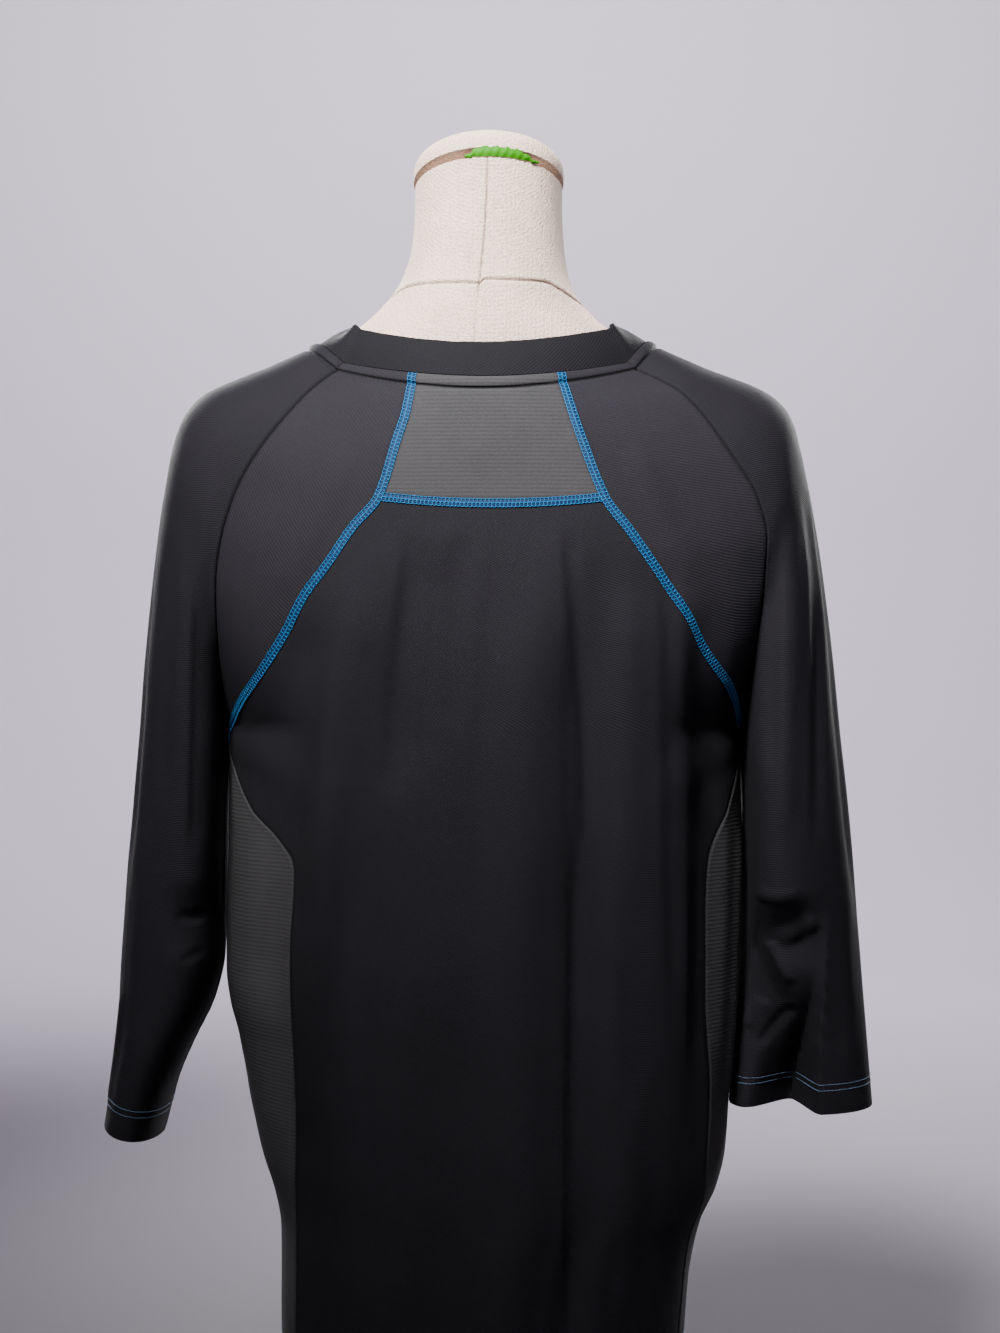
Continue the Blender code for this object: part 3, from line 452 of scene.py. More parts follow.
SLEEVE_CREASES = {
    Side.LEFT: (
        creases(
            Facing.BACK,
            (((206, 780), (208, 700), (210, 610), (212, 560)), -3.2, (10, 8)),
            (((196, 840), (204, 790), (208, 720)), 1.4, (8, 10)),
            (((228, 800), (232, 700), (236, 590)), -1.5, (10, 12)),
            (((205, 524), (215, 518), (226, 524)), -2.4, (7, 7), (0.3, 0.3)),
            (((206, 498), (216, 490), (222, 492)), -1.4, (6, 6), (0.3, 0.3)),
            (((250, 560), (256, 480), (262, 400)), 1.3, (10, 10)),
        )
        + creases(
            Facing.LEFT,
            (((20, 860), (28, 760), (30, 640), (26, 520)), -2, (12, 10)),
            (((-22, 840), (-26, 720), (-30, 580)), 1.8, (14, 12)),
            (((4, 620), (-6, 520), (-8, 420)), -2, (10, 12)),
            (((34, 470), (30, 420), (32, 370)), 1.6, (12, 10)),
        )
        + creases(
            Facing.FRONT,
            (((212, 780), (216, 680), (222, 560)), -2.6, (10, 10)),
            (((236, 640), (242, 540), (250, 440)), 1.6, (12, 12)),
            (((208, 520), (222, 512), (236, 522)), -2, (8, 6), (0.3, 0.3)),
        )
    ),
    Side.RIGHT: (
        creases(
            Facing.BACK,
            (((-204, 790), (-202, 700), (-200, 620)), -3, (8, 10)),
            (((-230, 840), (-238, 760), (-238, 660), (-236, 560)), -2.6, (7, 9)),
            (((-214, 830), (-216, 740), (-212, 640), (-208, 560)), 1.8, (12, 10)),
            (((-182, 540), (-204, 534), (-226, 538)), 1.6, (9, 7), (0.2, 0.3)),
            (((-238, 520), (-222, 508), (-205, 499)), 3, (10, 10), (0.2, 0.4)),
            (((-204, 500), (-212, 484), (-221, 468)), 2.6, (7, 6), (0.1, 0.2)),
            (((-226, 452), (-216, 444), (-206, 430), (-197, 417)), -2.8, (7, 7)),
            (((-203, 456), (-198, 446), (-190, 430)), 2, (8, 9)),
            (((-258, 560), (-262, 460), (-266, 390)), 1.2, (10, 10)),
        )
        + creases(
            Facing.RIGHT,
            (((18, 860), (26, 750), (30, 620), (22, 500)), -2, (10, 12)),
            (((-24, 830), (-28, 700), (-34, 560)), 1.8, (12, 14)),
            (((-6, 600), (4, 500), (0, 410)), -2, (12, 10)),
        )
        + creases(
            Facing.LEFT,
            (((-20, 600), (-21, 470), (-20, 350)), 2.6, (18, 18), (0.16, 0.35)),
        )
        + creases(
            Facing.FRONT,
            (((-210, 780), (-216, 680), (-224, 560)), -2.4, (10, 10)),
            (((-200, 530), (-216, 520), (-232, 528)), -2.2, (8, 7), (0.3, 0.3)),
            (((-232, 500), (-240, 440), (-250, 390)), 1.6, (10, 12)),
        )
    ),
}


def unevenness(points: Array) -> Array:
    """The slow waver of hanging cloth: three sine products, 0.4 mm high at most together."""
    x, y, z = points[..., 0], points[..., 1], points[..., 2]
    slow = np.sin(61 * x + 23 * z + 1.3) * np.sin(19 * z + 37 * y + 0.4)
    middle = np.sin(118 * x - 31 * z + 74 * y + 2.1) * np.sin(47 * z - 53 * x)
    quick = np.sin(205 * x + 89 * y + 0.7) * np.sin(83 * z + 61 * x + 1.9)
    return (0.22 * slow + 0.12 * middle + 0.06 * quick) * MM


def welt(distance: Array) -> Array:
    """The roll under the collar: a half-round 1.9 mm high up to the welt's end, then a groove."""
    t = np.clip(distance / WELT, 0, 1)
    roll = np.sqrt(np.clip(1 - (2 * t - 1) ** 2, 0, 1))
    return 1.9 * MM * roll - 0.9 * MM * hump(distance, WELT + 1.5 * MM, 2.2 * MM)


class TopForm:
    """The outer face of the top, as functions of a level and a place round the section."""

    def sleeve_base(self, side: Side, level: Array, turn: Array) -> Array:
        """A sleeve: part of an ellipse round its outer line, open at the raglan seam.

        Args: turn, -1 at the front seam, 0 at the outer line and 1 at the back seam.
        """
        rows = SLEEVES[side]
        opening = np.radians(rows("open_angle", level))
        angle = turn * opening
        outer, seam = rows("outer_x", level), rows("seam_x", level)
        radius = (outer - seam) / (1 - np.cos(opening))
        share = (1 - np.cos(angle)) / (1 - np.cos(opening))
        lean = rows("lean", level) * radius * (np.sin(angle) ** 2 - share * np.sin(opening) ** 2)
        x = outer - radius * (1 - np.cos(angle)) - lean
        depth = np.where(angle > 0, rows("back_depth", level), rows("front_depth", level))
        seam_z = np.where(angle > 0, rows("back_z", level), rows("front_z", level))
        z = rows("outer_z", level) + (seam_z - rows("outer_z", level)) * share
        dent = np.where(angle > 0, self.sleeve_dents(side, level, (outer - x) / (outer - seam)), 0)
        return np.stack(np.broadcast_arrays(side.value * x, depth * np.sin(angle) - dent, z), axis=-1)

    @staticmethod
    def sleeve_dents(side: Side, level: Array, inward: Array) -> Array:
        """How far the empty sleeve's back is pushed in. Inward is 0 outside and 1 inside.

        The left sleeve has one shallow hollow at the elbow. The right one falls in on the inner
        side of an edge, first as a shelf, deeper past a diagonal, and from there as a valley that
        runs out at the cuff.
        """
        if side is Side.LEFT:
            return 0.009 * hump(inward, 0.85, 0.40) * hump(level, 1.49, 0.11)
        edge = 0.37 + 0.12 * rise(level, 1.45, 2.0)
        under = rise(level, 1.42, 1.74 - 0.16 * rise(inward, edge + 0.02, edge + 0.22))
        fallen = under * rise(inward, edge - 0.01 - 0.05 * rise(level, 1.7, 2.0), edge + 0.07)
        diagonal = np.maximum(0.63, 0.89 - 1.8 * (level - 1.557))
        shelf = 0.019 - 0.010 * rise(level, 1.49, 1.64)
        shelf = shelf + 0.008 * rise(inward, diagonal - 0.02, diagonal + 0.12)
        shelf = shelf * (1 - rise(inward, 0.91, 1))
        valley = 0.058 * hump(inward, edge, 1 - edge)
        return fallen * (shelf + (valley - shelf) * rise(level, 1.62, 2.0))

    def trunk_edges(self, level: Array, front: Array) -> list[tuple[Array, Array, Array]]:
        """Where the body's section starts and ends: raglan seams, or side lines lower down."""
        edges = []
        for side in Side:
            seam = self.sleeve_base(side, np.minimum(level, 1), np.where(front, -1.0, 1.0))
            inset = 0.4 * MM * rise(level, 0.7, 1.0)
            x = np.where(level > 1, SIDES(side.word, level), np.abs(seam[..., 0]) - inset)
            y = np.where(level > 1, 0.0, seam[..., 1])
            z = np.where(level > 1, TRUNK("back_z", level), seam[..., 2])
            edges.append((x, y, z))
        return edges

    def trunk_base(self, level: Array, angle: Array, folded: bool = True) -> Array:
        """The body: from seam to seam its depth follows (1 - |sin|^power)^bend.

        Args: angle, 0 in the middle of the back, 90 at the wearer's left and 180 in front.
        """
        level, angle = np.broadcast_arrays(np.asarray(level, float), np.asarray(angle, float))
        turned = (angle + 180) % 360 - 180
        front = np.abs(turned) > 90
        (left_x, left_y, left_z), (right_x, right_y, right_z) = self.trunk_edges(level, front)
        across = np.sin(np.radians(turned))
        curve = np.clip(1 - np.abs(across) ** TRUNK("power", level), 0, 1) ** TRUNK("bend", level)
        x = (left_x - right_x) / 2 + across * (left_x + right_x) / 2
        edge_y = (left_y + right_y) / 2 + across * (left_y - right_y) / 2
        edge_z = (left_z + right_z) / 2 + across * (left_z - right_z) / 2
        centre_y = np.where(front, TRUNK("front_y", level), TRUNK("back_y", level))
        centre_z = np.where(front, TRUNK("front_z", level), TRUNK("back_z", level))
        drop = np.where(front, TRUNK("front_drop", level), 1.0)
        soft_y = np.where(front, -1, 1) * UNDERARM("depth", level)
        soft_y = np.where(level > UNDERARM.level[0], soft_y, edge_y)
        y = soft_y + (centre_y - soft_y) * curve + (edge_y - soft_y) * rise(np.abs(across), 0.6, 1)
        z = edge_z + (centre_z - edge_z) * np.clip(1 - across**2, 0, 1) ** drop
        if folded:
            height = self.large_folds(level, turned)
            x = x + height * across
            y = y + height * np.cos(np.radians(turned))
        return np.stack([x, y, z], axis=-1)

    @staticmethod
    def large_folds(level: Array, angle: Array) -> Array:
        """The height of the large folds, which die out towards the side lines."""
        height = np.zeros(np.shape(level))
        for start, end, first, last, width, size in LARGE_FOLDS:
            along = np.clip((level - first) / (last - first), 0, 1)
            middle = start + (end - start) * along
            strength = rise(along, 0, 0.25) * (1 - rise(along, 0.85, 1))
            away = (angle - middle + 180) % 360 - 180
            height = height + size * MM * strength * hump(away, 0, 2 * width)
        return height * rise(np.abs(np.abs(angle) - 90), 0, 28)

    def seam_angle(self, side: Side, level: Array, seam: Sections, front: bool = False) -> Array:
        """The angle at which a seam that lies a given way out crosses the body's section."""
        (left_x, _, _), (right_x, _, _) = self.trunk_edges(level, np.full(np.shape(level), front))
        x = side.value * seam(side.word, level)
        across = (x - (left_x - right_x) / 2) / ((left_x + right_x) / 2)
        angle = np.degrees(np.arcsin(np.clip(across, -1, 1)))
        return side.value * 180 - angle if front else angle


@dataclass
class Cloth:
    """A stretch of cloth: its base face, the size of a step on it, the X of the axis that it goes
    round, the creases it carries, and the places between which its slopes are read."""

    base: Surface
    steps: tuple[float, float]
    hub: float
    creases: tuple[Crease, ...]
    keep_in: tuple[float, float] | None

    def frame(self, level: Array, across: Array) -> tuple[Array, Array, Array, Array]:
        """The base point, its two slopes by central differences, and the outward normal."""
        level, across = np.broadcast_arrays(np.asarray(level, float), np.asarray(across, float))
        step_level, step_across = self.steps
        inner = across if self.keep_in is None else np.clip(across, *self.keep_in)
        low, high = np.maximum(level - step_level, 0), np.minimum(level + step_level, 2)
        down = (self.base(high, inner) - self.base(low, inner)) / (high - low)[..., None]
        ahead, behind = inner + step_across, inner - step_across
        if self.keep_in is not None:
            ahead, behind = np.minimum(ahead, self.keep_in[1]), np.maximum(behind, self.keep_in[0])
        round_it = (self.base(level, ahead) - self.base(level, behind)) / (ahead - behind)[..., None]
        point = self.base(level, across)
        normal = unit(np.cross(round_it, down))
        away = point - np.array([self.hub, 0.0, 0.0])
        away[..., 2] = 0.05
        normal = normal * np.sign((normal * away).sum(axis=-1).mean() or 1.0)
        return point, down, round_it, normal

    def face(self, level: Array, across: Array) -> tuple[Array, Array]:
        """Points of the creased face, and the base's outward normals there."""
        point, down, _, normal = self.frame(level, across)
        lift = unevenness(point)
        for crease in self.creases:
            lift = lift + crease.lift(point, normal)
        start = np.linalg.norm(self.frame(np.zeros_like(level), across)[1], axis=-1)
        lift = lift * rise(level, 0.0, 0.12) + welt(level * start)
        return point + normal * lift[..., None], normal


# Meshes


@dataclass
class Mesh:
    """Points, quads and the UV of each quad's corners, in metres along the cloth.

    Shade is 0 on open cloth and up to 1 down in a seam or groove: painted shade, which darkens the colour
    where shadow falls, with some dust in the form's seams as well.
    """

    points: Array
    quads: Array
    uvs: Array
    shade: Array | None = None

    @staticmethod
    def joined(parts: Sequence[Mesh]) -> Mesh:
        """Several meshes as one, with a shade of 0 for those that have none."""
        starts = np.cumsum([0] + [len(part.points) for part in parts[:-1]])
        shades = [np.zeros(len(part.points)) if part.shade is None else part.shade for part in parts]
        return Mesh(
            np.concatenate([part.points for part in parts]),
            np.concatenate([part.quads + start for part, start in zip(parts, starts)]),
            np.concatenate([part.uvs for part in parts]),
            np.concatenate(shades),
        )

    def to_object(self, name: str, material: bpy.types.Material, sharp: float = 50) -> bpy.types.Object:
        """A smooth-shaded object at the origin, with the material and the UV map."""
        mesh = bpy.data.meshes.new(name)
        mesh.from_pydata(self.points.tolist(), [], self.quads.tolist())
        layer = mesh.uv_layers.new(name="cloth")
        layer.data.foreach_set("uv", self.uvs.astype(np.float32).ravel())
        shade = np.zeros(len(self.points)) if self.shade is None else self.shade
        mesh.attributes.new("shade", "FLOAT", "POINT").data.foreach_set("value", shade.astype(np.float32))
        mesh.materials.append(material)
        mesh.shade_smooth()
        mesh.set_sharp_from_angle(angle=math.radians(sharp))
        made = bpy.data.objects.new(name, mesh)
        bpy.context.scene.collection.objects.link(made)
        return made


def grid_mesh(points: Array, uv: Array, outward: Array) -> Mesh:
    """Quads between the rows and columns of a grid of points, whose last column joins its first.

    Args:
        points: rows, columns, 3.
        uv: rows, one column more than the points, 2.
        outward: the way each point should face, which turns all quads round if need be.
    """
    rows, columns = points.shape[:2]
    i, j = (index.ravel() for index in np.indices((rows - 1, columns)))
    k = (j + 1) % columns
    above, below = i * columns, (i + 1) * columns
    quads = np.stack([above + j, below + j, below + k, above + k], axis=1)
    corners = np.stack([uv[i, j], uv[i + 1, j], uv[i + 1, j + 1], uv[i, j + 1]], axis=1)
    flat = points.reshape(-1, 3)
    a, b, d = flat[quads[:, 0]], flat[quads[:, 1]], flat[quads[:, 3]]
    if (np.cross(b - a, d - a) * outward[i, j]).sum() < 0:
        quads, corners = quads[:, ::-1], corners[:, ::-1]
    return Mesh(flat, quads, corners)


def capped(mesh: Mesh, columns: int, cap: Sequence[Sequence[int]]) -> Mesh:
    """A grid's mesh with both ends closed by the quads of a cap, which face the way it does."""
    ends = np.array(cap)
    ends = np.concatenate([ends, ends[:, ::-1] + len(mesh.points) - columns])
    if mesh.quads[0, 1] != columns:
        ends = ends[:, ::-1]
    blank = np.zeros((len(ends), 4, 2))
    return Mesh(mesh.points, np.concatenate([mesh.quads, ends]), np.concatenate([mesh.uvs, blank]))


def wall_mesh(outer: Array, normals: Array, thickness: Array, uv: Array, shade: Array) -> Mesh:
    """A closed wall: the outer grid, the same grid moved in along its normals, and its rim."""
    rows, columns = outer.shape[:2]
    inner = outer - normals * thickness[..., None]
    around = np.concatenate([outer, inner[:, ::-1]], axis=1)
    middle_uv = np.concatenate([uv, uv[:, ::-1], uv[:, :1]], axis=1)
    facing = np.concatenate([normals, -normals[:, ::-1]], axis=1)
    body = grid_mesh(around, middle_uv, facing)
    turned = not np.array_equal(body.quads[0, :2], [0, 2 * columns])
    j = np.arange(columns - 1)
    ends = []
    for row, flip in ((0, turned), (rows - 1, not turned)):
        start = row * 2 * columns
        quad = np.stack([j, j + 1, 2 * columns - 2 - j, 2 * columns - 1 - j], axis=1) + start
        corner = np.stack([uv[row, j], uv[row, j + 1], uv[row, j + 1], uv[row, j]], axis=1)
        ends.append((quad[:, ::-1], corner[:, ::-1]) if flip else (quad, corner))
    quads = np.concatenate([body.quads] + [end[0] for end in ends])
    corners = np.concatenate([body.uvs] + [end[1] for end in ends])
    return Mesh(body.points, quads, corners, np.concatenate([shade, shade[:, ::-1]], axis=1).ravel())


def grid_normals(points: Array, like: Array) -> Array:
    """Normals of a grid from the differences of its lines, turned the way like points."""
    normal = np.cross(np.gradient(points, axis=0), np.gradient(points, axis=1))
    size = np.linalg.norm(normal, axis=-1, keepdims=True)
    normal = unit(normal)
    sign = np.sign((normal * like).sum(axis=-1).mean() or 1.0)
    return unit(np.where(size > 1e-11, sign * normal, like))


def tube_mesh(path: Array, normals: Array, radius: float) -> Mesh:
    """A round thread: circles round the path, in the plane of the normal and of tangent x normal."""
    tangent = unit(np.gradient(path, axis=0))
    beside = unit(np.cross(tangent, normals))
    above = np.cross(beside, tangent)
    turn = np.linspace(0, 2 * math.pi, THREAD_SIDES, endpoint=False)
    ring = np.cos(turn)[None, :, None] * above[:, None] + np.sin(turn)[None, :, None] * beside[:, None]
    around = np.linspace(0, 2 * math.pi * radius, THREAD_SIDES + 1)
    uv = np.stack(np.broadcast_arrays(around, lengths_along(path)[:, None]), axis=-1)
    mesh = grid_mesh(path[:, None] + radius * ring, uv, ring)
    return capped(mesh, THREAD_SIDES, [[0, 1, 4, 5], [1, 2, 3, 4]])


def merge_rows(*groups: Array) -> Array:
    """Sorted levels, less those that lie closer to the one before than the least step."""
    levels = np.unique(np.round(np.concatenate(groups), 6))
    keep = np.concatenate([[True], np.diff(levels) > LEAST_STEP])
    return levels[keep]


def spaced(start: float, end: float, step: float) -> Array:
    """Even levels from start to end, no further apart than step."""
    return np.linspace(start, end, max(2, math.ceil((end - start) / step) + 1))


def constant(value: float) -> Place:
    """A place that is the same at every level."""
    return lambda level: np.full(np.shape(level), value)


def beside_seam(level: float, metric: float, way: int) -> Array:
    """Levels at the seam offsets to one side of a seam."""
    return level + way * SEAM_OFFSETS / metric


# Pieces of cloth


@dataclass
class Panel:
    """A piece of cloth between two seams, which are places round the section at each level.

    Flat is its cut size and area what shows of it. Edges are its seams' kinds. The core is where
    its middle columns keep to, whatever the seams do.
    """

    name: str
    node: str
    slot: str
    material: bpy.types.Material
    cloth: Cloth
    rows: Array
    seams: tuple[Place, Place]
    columns: int
    flat: tuple[float, float]
    area: float
    edges: tuple[Edge, Edge]
    top: Edge = Edge.PLAIN
    bottom: Edge = Edge.PLAIN
    core: tuple[float, float] = (-1e9, 1e9)

    @property
    def has_neck(self) -> bool:
        """Whether the piece starts at the neck seam."""
        return self.rows[0] == 0

    def places(self, level: Array) -> Array:
        """Where the columns cross each level: at the seam offsets beside both seams, and evenly
        between them. Close seams draw the offsets together in proportion. Where a seam runs
        outside the core, only the columns near it follow it, by the fifth power of their share."""
        first, last = (seam(level) for seam in self.seams)
        at = self.cloth
        low = np.linalg.norm(at.frame(level, first)[2], axis=-1)
        high = np.linalg.norm(at.frame(level, last)[2], axis=-1)
        reach = SEAM_OFFSETS[-1] * (1 / low + 1 / high)
        scale = np.minimum(1, (last - first) / (CROWDED * reach))
        count = len(SEAM_OFFSETS) - 1
        offset = np.zeros(self.columns + 1)
        offset[: count + 1], offset[-count - 1 :] = SEAM_OFFSETS, SEAM_OFFSETS[::-1]
        share = np.clip((np.arange(self.columns + 1) - count) / (self.columns - 2 * count), 0, 1)
        start = first + scale * offset / low
        end = last - scale * offset / high
        left = first + scale * SEAM_OFFSETS[-1] / low
        right = last - scale * SEAM_OFFSETS[-1] / high
        core_left, core_right = np.maximum(left, self.core[0]), np.minimum(right, self.core[1])
        turn = 2 * share - 1
        middle = core_left + (core_right - core_left) * share
        middle = middle + (left - core_left) * np.maximum(-turn, 0) ** 5
        middle = middle + (right - core_right) * np.maximum(turn, 0) ** 5
        number = np.arange(self.columns + 1)
        return np.where(number <= count, start, np.where(number >= self.columns - count, end, middle))

    def levels(self) -> Array:
        """Each column's levels. Near the neck they keep set distances from its seam."""
        grid = np.repeat(self.rows[:, None], self.columns + 1, axis=1)
        if not self.has_neck:
            return grid
        start = self.places(np.zeros((1, self.columns + 1)))
        metric = np.linalg.norm(self.cloth.frame(np.zeros_like(start), start)[1], axis=-1)
        welt_levels = WELT_ROWS[:, None] / metric
        tail = grid[len(WELT_ROWS) :]
        step = welt_levels[-1:] - WELT_ROWS[-1] / BACK_METRIC
        tail = tail + step * (1 - rise(tail, tail[0, 0], NECK_ROWS_END))
        return np.concatenate([welt_levels, tail])

    def build(self) -> None:
        """The piece as a thin wall with its seams and hem."""
        level = self.levels()
        across = self.places(level)
        outer, base_normals = self.cloth.face(level, across)
        down, over = lengths_along(outer, 0), lengths_along(outer, 1)
        width, height = over[:, -1:], down[-1:, :]
        from_edges = ((self.edges[0], over, down), (self.edges[1], width - over, down))
        from_ends = ((self.top, down, over), (self.bottom, height - down, over))
        lift = sum(self.seam_lift(*seam) for seam in from_edges + from_ends)
        # Painted shade in and beside the seams, and under a flat seam's threads.
        shade = sum(self.seam_shade(*seam[:2]) for seam in from_edges + from_ends)
        upper = rise(level, 0.0, 0.02) if self.has_neck else 1.0
        outer = outer + base_normals * (lift * upper)[..., None]
        normals = grid_normals(outer, base_normals)
        uv = np.stack([over - width / 2, down], axis=-1)
        if self.has_neck:
            # Painted shade in the groove under the welt and along the neck seam.
            groove = hump(down, WELT + 1.7 * MM, 1.6 * MM)
            shade = shade + 0.9 * groove + 0.8 * (1 - rise(down, 0.0, 1.6 * MM))
        mesh = wall_mesh(outer, normals, self.thickness(height - down, level), uv, np.minimum(shade, 1))
        made = mesh.to_object(self.name, self.material)
        finish_piece(made, self.slot, self.node)
        log.info("%s: %d faces", self.name, len(mesh.quads))

    @staticmethod
    def thickness(above_hem: Array, level: Array) -> Array:
        """One layer of knit, and two where the hem is turned up."""
        hem = (1 - rise(above_hem, HEM_DEPTH - 0.8 * MM, HEM_DEPTH)) * (level > HEM_SIDE)
        return CLOTH + (HEM_CLOTH - CLOTH) * hem

    @staticmethod
    def seam_shade(edge: Edge, away: Array) -> Array:
        """Painted shade: 0.6 at a sunk seam and 0.5 under a flat seam's threads, gone a few millimetres
        away.
        """
        if edge is Edge.PLAIN:
            return np.zeros_like(away)
        if edge is Edge.FLAT_SEAM:
            return 0.5 * (1 - rise(away, 2.6 * MM, 4.6 * MM))
        return 0.6 * np.exp(-((away / (1.2 * MM)) ** 2))

    @staticmethod
    def seam_lift(edge: Edge, away: Array, along: Array) -> Array:
        """The cloth's height beside a seam: a groove at the seam, the seam allowance's swell
        beside it where it is sunk, and small puckers that fade over 10 mm."""
        if edge is Edge.PLAIN:
            return np.zeros_like(away)
        phase = along * 2 * math.pi / PUCKER_PITCH + 2.2 * np.sin(along * 41)
        pucker = np.sin(phase) * np.exp(-away / PUCKER_REACH)
        if edge is Edge.FLAT_SEAM:
            return -0.25 * MM * np.exp(-((away / (2.8 * MM)) ** 2)) + 0.10 * MM * pucker
        groove = -0.60 * MM * np.exp(-((away / MM) ** 2))
        swell = 0.35 * MM * hump(away, 3.4 * MM, 3.2 * MM)
        return groove + swell + 0.16 * MM * pucker


def finish_piece(made: bpy.types.Object, slot: str = "", *nodes: str) -> None:
    """Puts a piece on the body and hides the nodes that it stands for."""
    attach(made, BODY)
    if nodes:
        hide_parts(*nodes)


@dataclass
class Seam:
    """A line on the cloth that threads follow, at even distances along it."""

    cloth: Cloth
    level: Array
    across: Array
    lines: dict[str, Array] = field(init=False)

    def __post_init__(self) -> None:
        """Works out the line's points, normals and sideways directions, and what a sideways
        step is in level and place: the least-squares answer in the two slopes."""
        face, _ = self.cloth.face(self.level, self.across)
        _, down, round_it, normal = self.cloth.frame(self.level, self.across)
        tangent = unit(np.gradient(face, axis=0))
        side = unit(np.cross(normal, tangent))
        a, b, c = (down**2).sum(-1), (down * round_it).sum(-1), (round_it**2).sum(-1)
        p, q = (down * side).sum(-1), (round_it * side).sum(-1)
        det = np.maximum(a * c - b * b, 1e-18)
        self.lines = {
            "along": lengths_along(face),
            "level": self.level,
            "across": self.across,
            "level_step": (c * p - b * q) / det,
            "across_step": (a * q - b * p) / det,
        }

    @property
    def length(self) -> float:
        """The seam's length."""
        return float(self.lines["along"][-1])

    def at(self, along: Array, aside: Array, above: Array) -> tuple[Array, Array]:
        """Points at a distance along, to the side and above the cloth, with their normals."""
        read = {key: np.interp(along, self.lines["along"], values) for key, values in self.lines.items()}
        level = read["level"] + read["level_step"] * aside
        across = read["across"] + read["across_step"] * aside
        points, normals = self.cloth.face(np.clip(level, 0, 2), across)
        return points + normals * above[..., None], normals


@dataclass(frozen=True)
class FlatSeam:
    """A flat overlock seam: two columns of slanted threads between three chained ones, over a
    closed bed of thread."""

    width: float = 6.2 * MM
    pitch: float = 2.75 * MM
    inset: float = 0.26 * MM  # of the outer threads' middles
    slanted: float = 0.23 * MM  # thread radius
    chained: float = 0.27 * MM  # thread radius
    samples: int = 10  # to a stitch

    def mesh(self, seam: Seam, start: float, end: float) -> tuple[Mesh, Mesh]:
        """The threads and the bed under them, between two distances along the seam."""
        count = max(2, round((end - start) / self.pitch))
        half = self.width / 2 - self.inset
        along = np.linspace(start, end, count * self.samples + 1)
        phase = np.linspace(0, count, count * self.samples + 1) * 2 * math.pi
        drift = 0.06 * MM * np.sin(phase * 0.37 + 1.1)
        threads = []
        for way in (-1, 1):
            swing = rise((1 - np.cos(phase + 0.6 * way)) / 2, 0.08, 0.92)
            slant = way * 0.28 * self.pitch * np.sin(phase + 0.6 * way)
            above = (0.42 + 0.10 * np.sin(phase)) * MM
            path = seam.at(np.clip(along + slant, start, end), way * half * swing + drift, above)
            threads.append(tube_mesh(*path, self.slanted))
        for place, lag in ((-half, 0.0), (0.0, 1.7), (half, 3.1)):
            aside = place + 0.20 * MM * np.sin(phase + lag) + drift
            above = (0.55 + 0.16 * np.cos(phase + lag)) * MM
            threads.append(tube_mesh(*seam.at(along, aside, above), self.chained))
        return Mesh.joined(threads), self.bed(seam, start, end, count)

    def bed(self, seam: Seam, start: float, end: float, count: int) -> Mesh:
        """A low closed strip: an arched top over a flat underside just inside the cloth."""
        along = np.linspace(start, end, count * 2 + 1)[:, None]
        place = np.array([-1, -0.6, 0, 0.6, 1, 1, 0, -1]) * (self.width / 2 - 0.25 * MM)
        height = np.array([0.02, 0.24, 0.28, 0.24, 0.02, -0.35, -0.35, -0.35]) * MM
        points, normals = seam.at(*np.broadcast_arrays(along, place, height))
        uv = np.stack(np.broadcast_arrays(np.append(place, place[0]), along), axis=-1)
        hub = points[:, [2]] - normals[:, [2]] * 0.2 * MM
        cap = [[0, 1, 6, 7], [1, 2, 3, 6], [3, 4, 5, 6]]
        return capped(grid_mesh(points, uv, points - hub), len(place), cap)


@dataclass(frozen=True)
class NeedleRow:
    """A row of straight stitches: a thread that dips into the cloth between stitches."""

    pitch: float = 3.0 * MM
    radius: float = 0.27 * MM
    samples: int = 8  # to a stitch

    def mesh(self, seam: Seam) -> Mesh:
        """The row along a seam line."""
        count = max(3, round(seam.length / self.pitch))
        along = np.linspace(0, seam.length, count * self.samples + 1)
        phase = np.linspace(0, count, count * self.samples + 1)
        lift = np.abs(np.sin(math.pi * phase)) ** 0.6
        above = (-0.30 + 0.50 * lift) * MM
        waver = 0.10 * MM * np.sin(phase * 1.7) * lift
        return tube_mesh(*seam.at(along, waver, above), self.radius)


# Finishes


